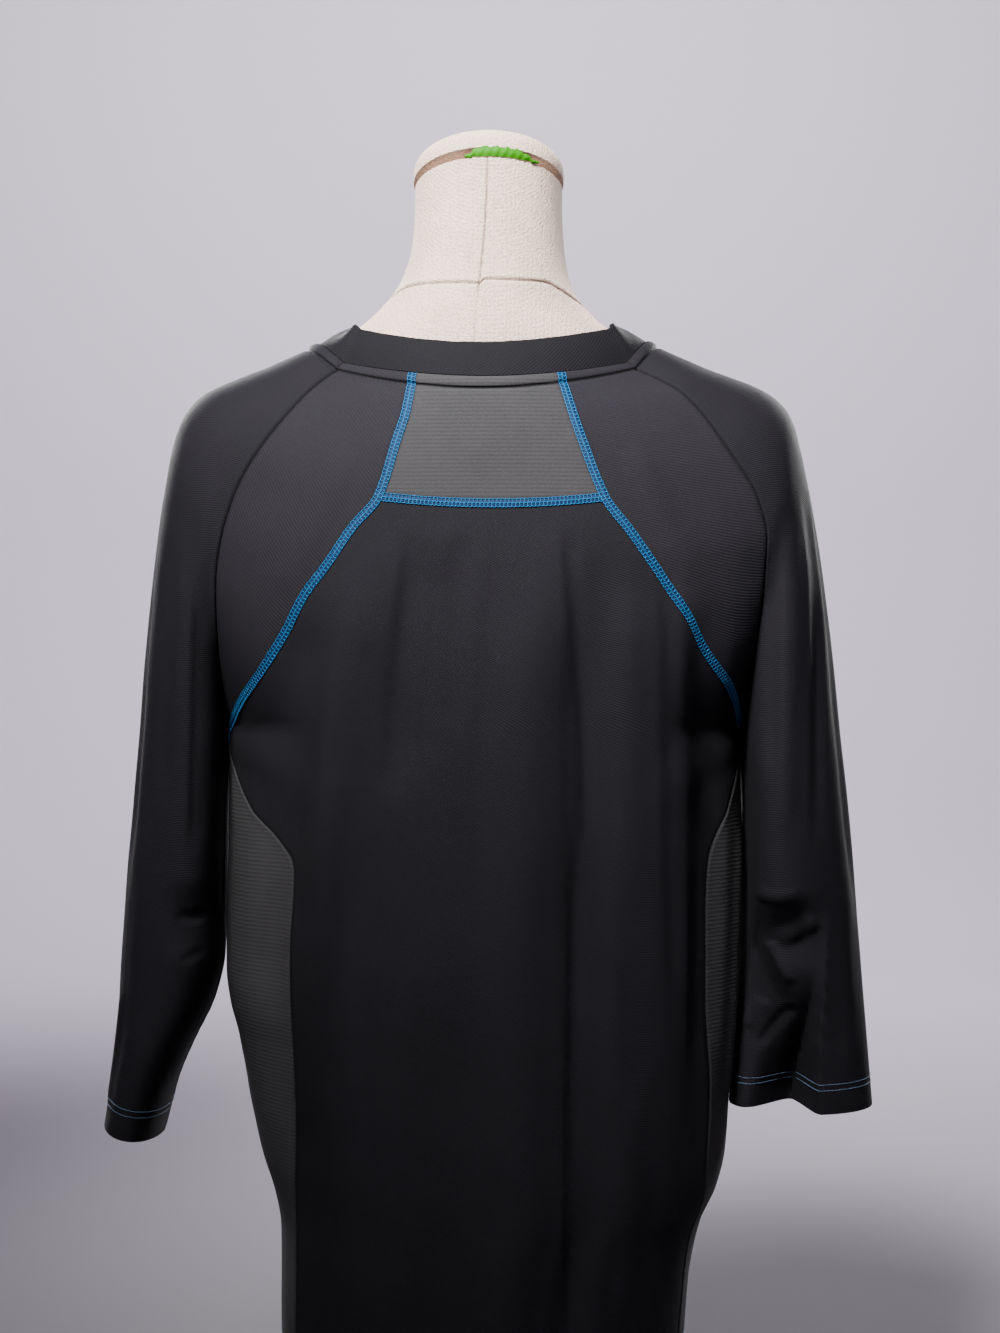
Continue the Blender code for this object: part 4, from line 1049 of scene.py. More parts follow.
class Nodes:
    """A material's node tree, filled a line at a time."""

    def __init__(self, name: str) -> None:
        """Starts a material with a Principled shader."""
        self.material = bpy.data.materials.new(name)
        self.material.use_nodes = True
        self.tree = self.material.node_tree
        self.shader = self.tree.nodes["Principled BSDF"]
        coordinates = self.tree.nodes.new("ShaderNodeTexCoord")
        self.place = coordinates.outputs["Object"]
        self.cloth = coordinates.outputs["UV"]
        self.shade = self.add("Attribute", attribute_name="shade").outputs["Fac"]

    def add(self, kind: str, inputs: dict | None = None, **settings: object) -> bpy.types.Node:
        """A node of a kind, with settings and inputs, each a value or an output to link."""
        node = self.tree.nodes.new("ShaderNode" + kind)
        for key, value in settings.items():
            setattr(node, key, value)
        for key, value in (inputs or {}).items():
            self.put(node.inputs[key], value)
        return node

    def put(self, socket: Socket, value: object) -> None:
        """Links an output to a socket, or sets the socket's value."""
        if isinstance(value, Socket):
            self.tree.links.new(value, socket)
        else:
            socket.default_value = value

    def math(self, operation: str, *values: object) -> Socket:
        """The output of a Math node."""
        return self.add("Math", dict(enumerate(values)), operation=operation).outputs[0]

    def scaled(self, value: object, factor: float, rest: object) -> Socket:
        """The value times the factor, plus the rest."""
        return self.math("MULTIPLY_ADD", value, factor, rest)

    def noise(self, source: Socket, scale: float, detail: float) -> Socket:
        """Soft noise from 0 to 1 at a scale for each metre."""
        return self.add("TexNoise", {"Vector": source, "Scale": scale, "Detail": detail}).outputs[0]

    def turned(self, source: Socket, degrees: float) -> Socket:
        """The coordinates turned about their third axis."""
        return self.add("Mapping", {"Vector": source, "Rotation": (0, 0, math.radians(degrees))}).outputs[0]

    def bands(self, source: Socket, axis: str, period: float, bend: float = 0.0) -> Socket:
        """A sine of a given period along an axis; Blender's wave repeats every pi/10 over scale."""
        scale = math.pi / 10 / period
        inputs = {"Vector": source, "Scale": scale, "Distortion": bend, "Detail": 1.0, "Detail Scale": 1.5}
        return self.add("TexWave", inputs, bands_direction=axis).outputs["Fac"]

    def blend(self, share: object, low: Colour, high: Colour) -> Socket:
        """A colour between two, by a share from 0 to 1."""
        return self.add("Mix", {0: share, 6: (*low, 1), 7: (*high, 1)}, data_type="RGBA").outputs[2]

    def shaded(self, colour: Socket, depth: float) -> Socket:
        """The colour, darkened by the depth where the mesh's shade is 1: painted shade."""
        share = self.math("MULTIPLY", self.shade, depth)
        return self.add("Mix", {0: share, 6: colour, 7: (0.0, 0.0, 0.0, 1)}, data_type="RGBA").outputs[2]

    def bump(self, height: Socket, distance: float) -> Socket:
        """A normal bumped by a height."""
        return self.add("Bump", {"Height": height, "Distance": distance, "Strength": 1.0}).outputs[0]

    def to_shader(self, **values: object) -> bpy.types.Material:
        """The material, with outputs or values on its shader's sockets: Base_Color is Base Color."""
        for key, value in values.items():
            self.put(self.shader.inputs[key.replace("_", " ")], value)
        return self.material


@dataclass(frozen=True)
class Finish:
    """A finish with a name, which runs between two colours."""

    name: str
    dark: Colour
    light: Colour


@dataclass(frozen=True)
class Knit(Finish):
    """Smooth polyester knit: fine slanted wales on a matt, slightly mottled black."""

    wale: float = 1.5 * MM
    slant: float = 28.0
    roughness: float = 0.80

    def material(self) -> bpy.types.Material:
        """Colour from two noises and the wales; height from wales crossed by courses."""
        nodes = Nodes(self.name)
        turned = nodes.turned(nodes.cloth, self.slant)
        wales = nodes.bands(turned, "Y", self.wale, 0.6)
        courses = nodes.bands(turned, "X", self.wale * 0.62, 0.4)
        fibre = nodes.noise(nodes.place, 1500, 2.0)
        patches = nodes.noise(nodes.place, 9, 2.0)
        weave = nodes.scaled(courses, 0.35, wales)
        share = nodes.scaled(fibre, 1.1, nodes.scaled(patches, 0.4, -0.4))
        share = nodes.scaled(weave, 0.20, share)
        height = nodes.scaled(fibre, 0.6, weave)
        # The mesh's shade darkens the colour: painted shade in the seams and grooves.
        return nodes.to_shader(
            Base_Color=nodes.shaded(nodes.blend(share, self.dark, self.light), 0.8),
            Roughness=self.roughness,
            Normal=nodes.bump(height, 0.16 * MM),
            Specular_IOR_Level=0.08,
        )


@dataclass(frozen=True)
class RibbedMesh(Finish):
    """Ribbed mesh knit: fine level ribs with small open dots between them."""

    rib: float = 2.9 * MM
    dot: float = 1.3 * MM

    def material(self) -> bpy.types.Material:
        """Height from the ribs less the dots, which lie in the troughs; colour follows it."""
        nodes = Nodes(self.name)
        ribs = nodes.bands(nodes.place, "Z", self.rib, 0.35)
        dots = nodes.bands(nodes.cloth, "X", self.dot, 0.2)
        trough = nodes.math("SUBTRACT", 1.0, ribs)
        holes = nodes.math("MULTIPLY", trough, dots)
        fibre = nodes.noise(nodes.place, 1300, 2.0)
        patches = nodes.noise(nodes.place, 14, 2.0)
        height = nodes.scaled(holes, -0.7, ribs)
        share = nodes.scaled(height, 0.14, nodes.scaled(fibre, 1.0, -0.3))
        share = nodes.scaled(patches, 0.5, share)
        # The mesh's shade darkens the colour: painted shade in the seams.
        return nodes.to_shader(
            Base_Color=nodes.shaded(nodes.blend(share, self.dark, self.light), 0.75),
            Roughness=0.85,
            Normal=nodes.bump(nodes.scaled(fibre, 0.5, height), 0.075 * MM),
            Specular_IOR_Level=0.08,
        )


@dataclass(frozen=True)
class Linen(Finish):
    """Cream linen stretched over padding: a plain weave of uneven threads, with slubs."""

    thread: float = 0.95 * MM

    def material(self) -> bpy.types.Material:
        """Warp and weft bands bent by noise; slubs are fine noise and stains are slow noise."""
        nodes = Nodes(self.name)
        warp = nodes.bands(nodes.place, "X", self.thread, 1.6)
        weft = nodes.bands(nodes.place, "Z", self.thread, 1.6)
        slubs = nodes.noise(nodes.place, 680, 2.0)
        stains = nodes.noise(nodes.place, 30, 4.0)
        weave = nodes.scaled(warp, 0.8, weft)
        height = nodes.scaled(slubs, 4.0, weave)
        share = nodes.scaled(slubs, 1.6, nodes.scaled(stains, 0.5, -0.5))
        # The mesh's shade darkens the colour: painted shade in the form's seams, with some dust.
        return nodes.to_shader(
            Base_Color=nodes.shaded(nodes.blend(share, self.dark, self.light), 0.6),
            Roughness=0.88,
            Normal=nodes.bump(height, 0.34 * MM),
            Specular_IOR_Level=0.2,
        )


@dataclass(frozen=True)
class Thread(Finish):
    """Twisted polyester thread: a fine slanted ply and a soft shine."""

    ply: float = 0.7 * MM

    def material(self) -> bpy.types.Material:
        """Ply bands slanted over the thread, in colour and height."""
        nodes = Nodes(self.name)
        turned = nodes.turned(nodes.cloth, 35)
        ply = nodes.bands(turned, "Y", self.ply)
        flecks = nodes.noise(nodes.place, 700, 1.0)
        share = nodes.scaled(ply, 0.5, nodes.math("MULTIPLY", flecks, 0.5))
        return nodes.to_shader(
            Base_Color=nodes.blend(share, self.dark, self.light),
            Roughness=0.6,
            Normal=nodes.bump(ply, 0.05 * MM),
            Specular_IOR_Level=0.1,
        )


@dataclass(frozen=True)
class SatinSteel(Finish):
    """Steel with a satin black coat that is slightly uneven."""

    def material(self) -> bpy.types.Material:
        """Orange-peel height and slow changes of colour and roughness."""
        nodes = Nodes(self.name)
        peel = nodes.noise(nodes.place, 380, 2.0)
        wear = nodes.noise(nodes.place, 16, 3.0)
        return nodes.to_shader(
            Base_Color=nodes.blend(wear, self.dark, self.light),
            Roughness=nodes.scaled(wear, 0.22, 0.24),
            Normal=nodes.bump(peel, 0.05 * MM),
            Metallic=0.2,
            Coat_Weight=0.3,
            Coat_Roughness=0.25,
        )


# The garment


@dataclass
class Garment:
    """The top: its cut pieces, its seams and its stitching."""

    form: TopForm = field(default_factory=TopForm)
    black: Knit = Knit("knit_black", (0.0036, 0.0033, 0.0044), (0.0125, 0.0114, 0.0142))
    # The blades' twill is the body's black knit made about 1.4 times lighter: painted light for the
    # better-lit upper back.
    twill: Knit = Knit("knit_twill", (0.0046, 0.0041, 0.0053), (0.0172, 0.0156, 0.0192), 2.0 * MM, 34.0)
    grey: RibbedMesh = RibbedMesh("mesh_grey", (0.0155, 0.0148, 0.0155), (0.0400, 0.0385, 0.0400))
    band: Knit = Knit("knit_collar", (0.0026, 0.0024, 0.0032), (0.0086, 0.0079, 0.0098), 2.0 * MM, 34.0)
    blue: Thread = Thread("thread_blue", (0.003, 0.042, 0.125), (0.011, 0.130, 0.285))
    # The bed's thread is the blue thread made much darker: painted shade in the slots between the stitches.
    deep_blue: Thread = Thread("thread_blue_bed", (0.0010, 0.008, 0.028), (0.003, 0.018, 0.055))
    pale_blue: Thread = Thread("thread_blue_pale", (0.026, 0.050, 0.083), (0.105, 0.155, 0.220), 1.6 * MM)

    def __post_init__(self) -> None:
        """Makes the cloth of the body and of both sleeves."""
        self.trunk, self.back, self.front = (
            Cloth(self.form.trunk_base, (0.004, 0.4), 0.0, BODY_CREASES, keep_in)
            for keep_in in (None, (-90.0, 90.0), (90.0 + FRONT_START, 270.0 - FRONT_START))
        )
        self.sleeves = {
            side: Cloth(
                partial(self.form.sleeve_base, side), (0.004, 0.006), side.value * 0.20,
                SLEEVE_CREASES[side], (-1.0, 1.0),
            )
            for side in Side
        }

    def rows(self, start: float, end: float, seams: Sequence[tuple[float, int]] = ()) -> Array:
        """Levels of a piece's rows: the neck's own, even steps above and below the underarm,
        the seam offsets beside each seam, and close rows at a hem."""
        groups = []
        if start == 0:
            groups.append(WELT_ROWS / BACK_METRIC)
            start = (WELT_ROWS[-1] + ROW_STEP) / BACK_METRIC
        if start < 1:
            groups.append(spaced(start, min(end, 1.0), ROW_STEP / BACK_METRIC))
        if end > 1:
            groups.append(spaced(max(start, 1.0), end, ROW_STEP / LOWER_METRIC))
        for level, way in seams:
            groups.append(beside_seam(level, BACK_METRIC if level < 1 else LOWER_METRIC, way))
        if end == 2:
            edge = np.array([0, 0.6 * MM, 1.6 * MM, 3.0 * MM, HEM_DEPTH - 0.8 * MM, HEM_DEPTH])
            groups.append(2 - edge / LOWER_METRIC)
        return merge_rows(*groups)

    def seam_at(self, side: Side, seam: Sections, front: bool = False) -> Place:
        """A seam's angle as a function of level."""
        return partial(self.form.seam_angle, side, seam=seam, front=front)

    def edges_at(self, side: Side, level: Array) -> tuple[Array, Array]:
        """The angles of the contrast seam above the underarm and of the side seam below it."""
        above = self.form.seam_angle(side, np.minimum(level, 1), CONTRAST_SEAM)
        return above, self.form.seam_angle(side, np.maximum(level, 1), SIDE_SEAM)

    def back_edge(self, side: Side) -> Place:
        """The centre back's edge: the contrast seam to the underarm, then the side seam."""

        def angle(level: Array) -> Array:
            above, below = self.edges_at(side, level)
            return np.where(level > 1, below, np.where(level > TIP_LEVEL, side.value * 90.0, above))

        return angle

    def front_edge(self, side: Side) -> Place:
        """The front's edge: the raglan seam to the underarm, then the side seam."""
        raglan, turns = (90.0 + FRONT_START, 0) if side is Side.LEFT else (270.0 - FRONT_START, 360)

        def angle(level: Array) -> Array:
            below = self.form.seam_angle(side, np.maximum(level, 1), SIDE_SEAM, True)
            return np.where(level > 1, below + turns, raglan)

        return angle

    def panels(self) -> Iterator[Panel]:
        """The cut pieces of the body and the sleeves, with their seams in order of angle."""
        black, grey, twill = (style.material() for style in (self.black, self.grey, self.twill))
        left, right = Side
        contrast = {side: self.seam_at(side, CONTRAST_SEAM) for side in Side}
        flat, sunk = Edge.FLAT_SEAM, Edge.SUNK_SEAM
        yield Panel(
            "yoke_mesh", "back_yoke", "grey_mesh", grey, self.back,
            self.rows(0, YOKE_LEVEL, [(YOKE_LEVEL, -1)]), (contrast[right], contrast[left]), 48,
            (0.165, 0.105), 0.0132, (flat, flat), bottom=flat,
        )
        yield Panel(
            "centre_back", "back_panel", "black_knit", black, self.back,
            self.rows(YOKE_LEVEL, 2, [(YOKE_LEVEL, 1)]), (self.back_edge(right), self.back_edge(left)), 120,
            (0.46, 0.64), 0.215, (flat, flat), top=flat, core=(-52, 44),
        )
        yield Panel(
            "front_piece", "front_panel", "black_knit", black, self.front,
            self.rows(0, 2), (self.front_edge(left), self.front_edge(right)), 124,
            (0.50, 0.70), 0.265, (sunk, sunk), core=(136, 232),
        )
        for side in Side:
            way, word = side.value, side.word
            # The shoulder blades wear the lighter copy of the black knit: painted light.
            yield Panel(
                f"shoulder_blade_cloth_{word}", f"shoulder_blade_{word}", "black_knit", twill, self.back,
                self.rows(0, TIP_LEVEL), (contrast[side], constant(way * 90.0))[::way], 38,
                (0.125, 0.30), 0.0225, (flat, sunk)[::way],
            )
            side_seams = (self.seam_at(side, SIDE_SEAM), self.seam_at(side, SIDE_SEAM, True))
            yield Panel(
                f"side_mesh_{word}", f"side_panel_{word}", "grey_mesh", grey, self.trunk,
                self.rows(1.004, 2), side_seams[::way], 46, (0.20, 0.47), 0.071, (sunk, sunk),
            )
            rows = merge_rows(self.rows(0, 2), spaced(*SLEEVE_BREAK))
            yield Panel(
                f"sleeve_cloth_{word}", f"sleeve_{word}", "black_knit", black, self.sleeves[side],
                rows, (constant(-1.0), constant(1.0)), 116, (0.46, 0.66), 0.176, (sunk, sunk),
            )

    def collar_curve(self) -> Array:
        """The neck seam as one closed curve, corner by corner at the raglan seams."""
        half_back = np.linspace(0, 90, 110, endpoint=False)
        front = np.linspace(90, 270, 260, endpoint=False)
        turn = np.linspace(1, -1, 40, endpoint=False)
        parts = [
            self.form.trunk_base(0.0, half_back, False),
            self.form.sleeve_base(Side.LEFT, 0.0, turn),
            self.form.trunk_base(0.0, front, False),
            self.form.sleeve_base(Side.RIGHT, 0.0, -turn),
            self.form.trunk_base(0.0, half_back - 90, False),
        ]
        curve = np.concatenate(parts)
        closed = np.concatenate([curve, curve[:1]])
        along = lengths_along(closed)
        even = np.linspace(0, along[-1], BAND_COLUMNS + 1)[:-1]
        return np.stack([np.interp(even, along, closed[:, axis]) for axis in range(3)], axis=1)

    def collar(self) -> None:
        """The neckband: a folded strip whose section is carried round the neck seam."""
        seam = self.collar_curve()
        way = unit(seam[:, :2] - np.array([seam[:, 0].mean(), 0.0]))
        right = way[:, 0] < 0
        start, end = (np.where(right, *values) for values in BAND_SIDES)
        sideways = rise(np.abs(way[:, 0]), start, end)
        back = way[:, 1] > 0
        shares = (np.where(back, 1 - sideways, 0), sideways, np.where(back, 0, 1 - sideways))
        lean = sum(share * size for share, size in zip(shares, BAND_LEAN))
        stand = sum(share * size for share, size in zip(shares, BAND_STAND))
        full = np.concatenate([-way * lean[:, None], stand[:, None]], axis=1)
        direction = unit(full)
        outward = np.concatenate([way, np.zeros((len(seam), 1))], axis=1)
        normal = unit(outward - direction * (outward * direction).sum(axis=1, keepdims=True))
        height = np.linalg.norm(full, axis=1)
        section = self.band_section()
        points = (
            seam[None]
            + direction[None] * (section[:, :1, None] * height[None, :, None] + section[:, 2:3, None])
            + normal[None] * section[:, 1:2, None]
        )
        points = np.concatenate([points, points[:1]], axis=0)
        wave = 0.125 * MM * np.sin(np.arange(len(seam)) * 2 * math.pi / BAND_COLUMNS * 31)
        points[4:-4] += normal[None] * wave[None, :, None]
        closed = np.concatenate([seam, seam[:1]])
        around, up = lengths_along(closed), lengths_along(points[:, 0])
        uv = np.stack(np.broadcast_arrays(around[None, :], up[:, None]), axis=-1)
        hub = points[:-1].mean(axis=0, keepdims=True)
        mesh = grid_mesh(points, uv, points - hub)
        own = len(mesh.points) - len(seam)
        mesh = Mesh(mesh.points[:own], mesh.quads % own, mesh.uvs)
        made = mesh.to_object("collar_band", self.band.material())
        finish_piece(made, "black_rib", "collar")
        log.info("collar_band: %d faces", len(mesh.quads))

    @staticmethod
    def band_section() -> Array:
        """The band's section as (share of its height, distance out, extra up): the outer face
        swells, the top is a half round and the inner face lies 2 mm behind."""
        share = np.concatenate([[0.02, 0.04, 0.08], np.linspace(0.14, 0.92, 11), [0.955]])
        outer = [(s, BAND_SWELL * math.sin(math.pi * s) + 0.15 * MM, 0.0) for s in share]
        turn, round_off = np.linspace(0, math.pi, 9)[1:-1], 1.05 * MM
        top = [(0.965, 0.2 * MM - round_off * (1 - math.cos(a)), round_off * math.sin(a)) for a in turn]
        inner = [(s, BAND_SWELL * math.sin(math.pi * s) * 0.6 - 2.0 * MM, 0.0) for s in share[::-2]]
        return np.array(outer + top + inner)

    def flat_seams(self) -> None:
        """The blue flat seams: down both sides of the yoke to the underarms, and under it."""
        # The bed's material is painted shade: a dark copy of the blue thread.
        blue, bed = self.blue.material(), self.deep_blue.material()
        style = FlatSeam()
        for side, end in ((Side.LEFT, 1.022), (Side.RIGHT, 0.99)):
            level = np.linspace(0.004, end, 700)
            angle = side.value * np.minimum(*np.abs(self.edges_at(side, level)))
            seam = Seam(self.trunk, level, angle)
            self.add_seam(f"flat_seam_{side.word}", style.mesh(seam, 0.4 * MM, seam.length), blue, bed)
        angles = [self.form.seam_angle(side, np.array([YOKE_LEVEL]), CONTRAST_SEAM)[0] for side in Side]
        across = np.linspace(angles[0], angles[1], 500)
        seam = Seam(self.trunk, np.full(500, YOKE_LEVEL), across)
        self.add_seam("flat_seam_yoke", style.mesh(seam, 2.2 * MM, seam.length - 2.2 * MM), blue, bed)

    @staticmethod
    def add_seam(name: str, parts: tuple[Mesh, Mesh], *materials: bpy.types.Material) -> None:
        """Adds a flat seam's threads and their bed as two pieces."""
        for mesh, material, ending in zip(parts, materials, ("", "_bed")):
            finish_piece(mesh.to_object(name + ending, material, 80))

    def needle_rows(self) -> None:
        """The pale blue double rows above the cuffs and the hem."""
        blue = self.pale_blue.material()
        row = NeedleRow()
        for side in Side:
            turn = np.linspace(-0.995, 0.995, 900)
            cloth = self.sleeves[side]
            metric = np.linalg.norm(cloth.frame(np.full(900, 1.97), turn)[1], axis=-1)
            metric = np.polyval(np.polyfit(turn, metric, 2), turn)
            rows = [row.mesh(Seam(cloth, 2 - up / metric, turn)) for up in STITCH_ROWS]
            finish_piece(Mesh.joined(rows).to_object(f"cuff_stitches_{side.word}", blue, 80))
        angle = np.linspace(-180, 180, 1600)
        levels = [np.full(1600, 2 - up / LOWER_METRIC) for up in STITCH_ROWS]
        rows = [row.mesh(Seam(self.trunk, level, angle)) for level in levels]
        finish_piece(Mesh.joined(rows).to_object("hem_stitches", blue, 80))

    def build(self) -> None:
        """Makes every piece of the top."""
        for panel in self.panels():
            panel.build()
        self.collar()
        self.flat_seams()
        self.needle_rows()


# The dress form and its stand


# The form's rings, from the neck's end down to its foot
FORM = Sections(
    "level half middle side_z back_y back_z front_y front_z fall",
    (0, 55.2, 1, 1056.8, 57, 1068.8, -55, 1045.2, 1),
    (1, 55.4, 1, 1038, 57.5, 1047, -55.5, 1029, 1),
    (2, 57.4, 1.5, 1012, 60, 1017, -58, 1000, 1),
    (3, 62, 3, 993, 64, 988, -62, 969, 1.05),
    (4, 70, 4.5, 977, 69.5, 964, -69, 930, 1.1),
    (5, 86, 5.5, 960, 74.5, 940, -77.5, 893, 1.15),
    (6, 102, 5, 948.5, 78, 917, -84, 860, 1.2),
    (7, 130, 3.2, 936, 86, 885, -93, 830, 1.3),
    (8, 160, 4, 922.8, 94, 850, -103, 800, 1.35),
    (9, 178, 2, 912.5, 101, 815, -111, 770, 1.4),
    (10, 187, 1, 896, 106, 780, -117, 740, 1.4),
    (11, 188, 0, 860, 110, 745, -121, 710, 1.4),
    (12, 184, 0, 800, 111, 705, -123, 680, 1.4),
    (13, 172, 0, 690, 108, 645, -120, 630, 1.3),
    (14, 152, 0, 595, 96, 580, -109, 575, 1.2),
    (15, 137, 0, 520, 87, 515, -99, 515, 1),
    (16, 133, 0, 450, 89, 450, -98, 450, 1),
    (17, 137, 0, 380, 99, 380, -101, 380, 1),
    (18, 139, 0, 320, 103, 320, -101, 320, 1),
    (19, 136.5, 0, 275, 101, 275, -98, 275, 1),
    (20, 129, 0, 262, 93, 262, -90, 262, 1),
)


# The heights of the form's neck seam, by the angle from the back
NECK_SEAM = Sections(
    "turn left right",
    (0, 975.7, 978.6),
    (25, 977.3, 979.1),
    (45, 978.6, 979.8),
    (55, 979, 977),
    (65, 978.2, 973.8),
    (75, 976.2, 971.2),
    (90, 972.5, 968),
    (180, 940, 940),
)
SNAGS = (1.0287, 1.0085, 0.9910)  # heights of the puckers in the form's back seam


def turned_mesh(profile: Array, steps: int, centre: Sequence[float] = (0, 0, 0), tilt: float = 0) -> Mesh:
    """A turned piece: (radius, height) pairs carried round Z, tipped about X and moved."""
    angle = np.linspace(0, 2 * math.pi, steps, endpoint=False)
    radius, height = profile[:, :1], profile[:, 1:]
    x, y = radius * np.sin(angle), radius * np.cos(angle)
    z = np.broadcast_to(height, x.shape)
    tipped_y = y * math.cos(tilt) - z * math.sin(tilt)
    tipped_z = y * math.sin(tilt) + z * math.cos(tilt)
    points = np.stack([x, tipped_y, tipped_z], axis=-1) + np.array(centre)
    along = lengths_along(np.concatenate([profile, np.zeros((len(profile), 1))], axis=1))
    turn = np.linspace(0, 2 * math.pi * float(profile[:, 0].max()), steps + 1)
    uv = np.stack(np.broadcast_arrays(turn[None, :], along[:, None]), axis=-1)
    hub = np.array(centre) + np.array([0, -math.sin(tilt), math.cos(tilt)]) * float(profile[:, 1].mean())
    return grid_mesh(points, uv, points - hub)


def rounded(radius: float, height: float, corner: float, steps: int) -> Array:
    """(radius, height) pairs round a top corner, from the flat outwards."""
    turn = np.linspace(math.pi / 2, 0, steps)
    return np.stack([np.cos(turn) - 1, np.sin(turn) - 1], axis=1) * corner + (radius, height)


@dataclass
class DressForm:
    """The limbless form: linen over a padded body, a capped neck and a low steel stand."""

    linen: Linen = Linen("linen_cream", (0.40, 0.295, 0.230), (0.80, 0.61, 0.49))
    green: Thread = Thread("tape_green", (0.010, 0.085, 0.0006), (0.030, 0.175, 0.001), 1.1 * MM)
    steel: SatinSteel = SatinSteel("satin_black", (0.012, 0.012, 0.013), (0.0192, 0.0192, 0.0208))
    cap_radius: float = 0.0566
    cap_height: float = 0.0195
    cap_tilt: float = math.radians(15.5)
    tape_ends: tuple[float, float] = (-0.0360, 0.0168)
    bottom: float = 0.262
    gap: float = 0.3 * MM

    def face(self, level: Array, angle: Array) -> Array:
        """The padded body: rings of given half width and depths, tipped from front to back."""
        across, along = np.sin(angle), np.cos(angle)
        half, side_z = FORM("half", level), FORM("side_z", level)
        depth = np.where(along > 0, FORM("back_y", level), -FORM("front_y", level))
        centre_z = np.where(along > 0, FORM("back_z", level), FORM("front_z", level))
        z = side_z + (centre_z - side_z) * np.abs(along) ** FORM("fall", level)
        return np.stack([FORM("middle", level) + half * across, depth * along, z], axis=-1)

    def seam_level(self, angle: Array) -> Array:
        """The level at which the neck's seam crosses each angle, read from the heights of many
        levels. The right half starts 3 mm higher at the back seam."""
        turn = np.degrees(np.abs(angle))
        left, right = NECK_SEAM("left", turn), NECK_SEAM("right", turn)
        wanted = left + (right - left) * rise(-angle, 0.01, 0.05)
        levels = np.linspace(2.2, 5.5, 120)
        heights = self.face(levels[:, None], angle[None, :])[..., 2]
        column = np.arange(len(angle))
        row = np.clip((heights > wanted).sum(axis=0), 1, len(levels) - 1)
        high, low = heights[row - 1, column], heights[row, column]
        share = np.clip((high - wanted) / np.maximum(high - low, 1e-9), 0, 1)
        return levels[row - 1] + (levels[row] - levels[row - 1]) * share

    def body(self) -> None:
        """The padded body, with its neck seam and back seam pressed in."""
        near = np.array([0.0, 0.4, 0.8, 1.3, 2.0, 3.2, 5.0]) * MM / NECK_RADIUS
        wide = np.linspace(near[-1], math.pi, 62)[1:]
        half = np.concatenate([near, wide])
        angle = np.concatenate([half, -half[1:-1][::-1]])
        seam = self.seam_level(angle)
        upper = np.concatenate([np.linspace(0, 0.93, 30), [0.955, 0.972, 0.983, 0.990, 0.995, 1.0]])
        offsets = np.array([0.006, 0.014, 0.024, 0.04, 0.065, 0.1, 0.2])
        lower = np.concatenate([offsets, np.linspace(0.5, 16.0, 62)])
        above = upper[:, None] * seam
        stretch = (20 - seam) / 16.0
        below = seam + lower[:, None] * stretch
        level = np.concatenate([above, below])
        drift = (3.0 * rise(np.linspace(0, 1, len(above)), 0, 1) + 0.4) * MM
        drift = np.concatenate([drift, np.full(len(below), drift[-1])])[:, None]
        pull = 1 - rise(np.abs(angle), 0.05, 1.2)
        turned = angle + drift / (60 * MM) * pull
        points = self.face(level, turned)
        normals = grid_normals(points, points - np.array([0, 0, 1.0]) * points[..., 2:])
        along = lengths_along(points, 0)
        from_seam = np.abs(along - along[len(upper) - 1])
        beside = np.abs(angle)[None, :] * NECK_RADIUS
        swell = 0.4 * MM * hump(from_seam, 3.0 * MM, 2.6 * MM)
        groove = swell - 1.4 * MM * np.exp(-((from_seam / MM) ** 2))
        lower = rise(along, along[len(upper) - 1], along[len(upper) - 1] + 0.01)
        snags = sum(hump(points[..., 2], height, 2.4 * MM) for height in SNAGS)
        width = (0.75 + 0.7 * snags + 0.2 * np.sin(points[..., 2] * 700)) * MM
        back = np.exp(-((beside / width) ** 2)) * rise(along, 0.0, 0.003) * (1 - 0.6 * lower)
        points = points + normals * (groove - 1.3 * MM * back)[..., None]
        # Painted shade, with some dust, down in the neck seam's groove and along the back seam, darkest at
        # the snags.
        shade = np.minimum(0.75 * np.exp(-((from_seam / (1.1 * MM)) ** 2)) + 0.8 * back, 1)
        around = lengths_along(np.concatenate([points, points[:, :1]], axis=1), 1)
        uv = np.stack([around, np.concatenate([along, along[:, :1]], axis=1)], axis=-1)
        mesh = grid_mesh(points, uv, normals)
        mesh.shade = shade.ravel()
        made = self.with_ends(mesh, points).to_object("form_linen_body", self.linen.material(), 35)
        finish_piece(made, "form_linen", "form_body")

    @staticmethod
    def with_ends(mesh: Mesh, points: Array) -> Mesh:
        """Closes the first and last rings with smaller rings inside them, down to a thousandth."""
        rows, columns = points.shape[:2]
        parts = [mesh]
        for row, flip in ((0, 1), (rows - 1, -1)):
            ring = points[row]
            centre = ring.mean(axis=0)
            shares = np.array([1.0, 0.97, 0.6, 0.2, 0.001])[:, None, None]
            disc = centre + (ring[None] - centre) * shares
            up = np.broadcast_to([0, 0, flip], disc.shape)
            parts.append(grid_mesh(disc, np.zeros((len(shares), columns + 1, 2)), up))
        return Mesh.joined(parts)

    @property
    def cap_slope(self) -> float:
        """How much more the cap is tipped than the neck's end under it."""
        return math.tan(self.cap_tilt) - NECK_RISE / NECK_DEPTH

    def cap(self) -> None:
        """The padded cap that closes the neck, resting on its front edge."""
        radius, height = self.cap_radius, self.cap_height
        dome = [(share * radius, height + up * MM) for share, up in ((0.3, 2.2), (0.56, 1.2))]
        dome = [(AXIS, height + 2.4 * MM)] + dome
        foot = [(radius, 2.5 * MM), (radius - 0.4 * MM, 0.9 * MM), (radius - 2.0 * MM, 0.0), (AXIS, 0.0)]
        profile = np.concatenate([dome, rounded(radius, height, 12 * MM, 12), foot])
        centre = (NECK_MIDDLE, 0.0, NECK_TOP + radius * self.cap_slope + self.gap)
        mesh = turned_mesh(profile, 120, centre, self.cap_tilt)
        finish_piece(mesh.to_object("form_linen_cap", self.linen.material(), 40), "form_linen", "neck_cap")

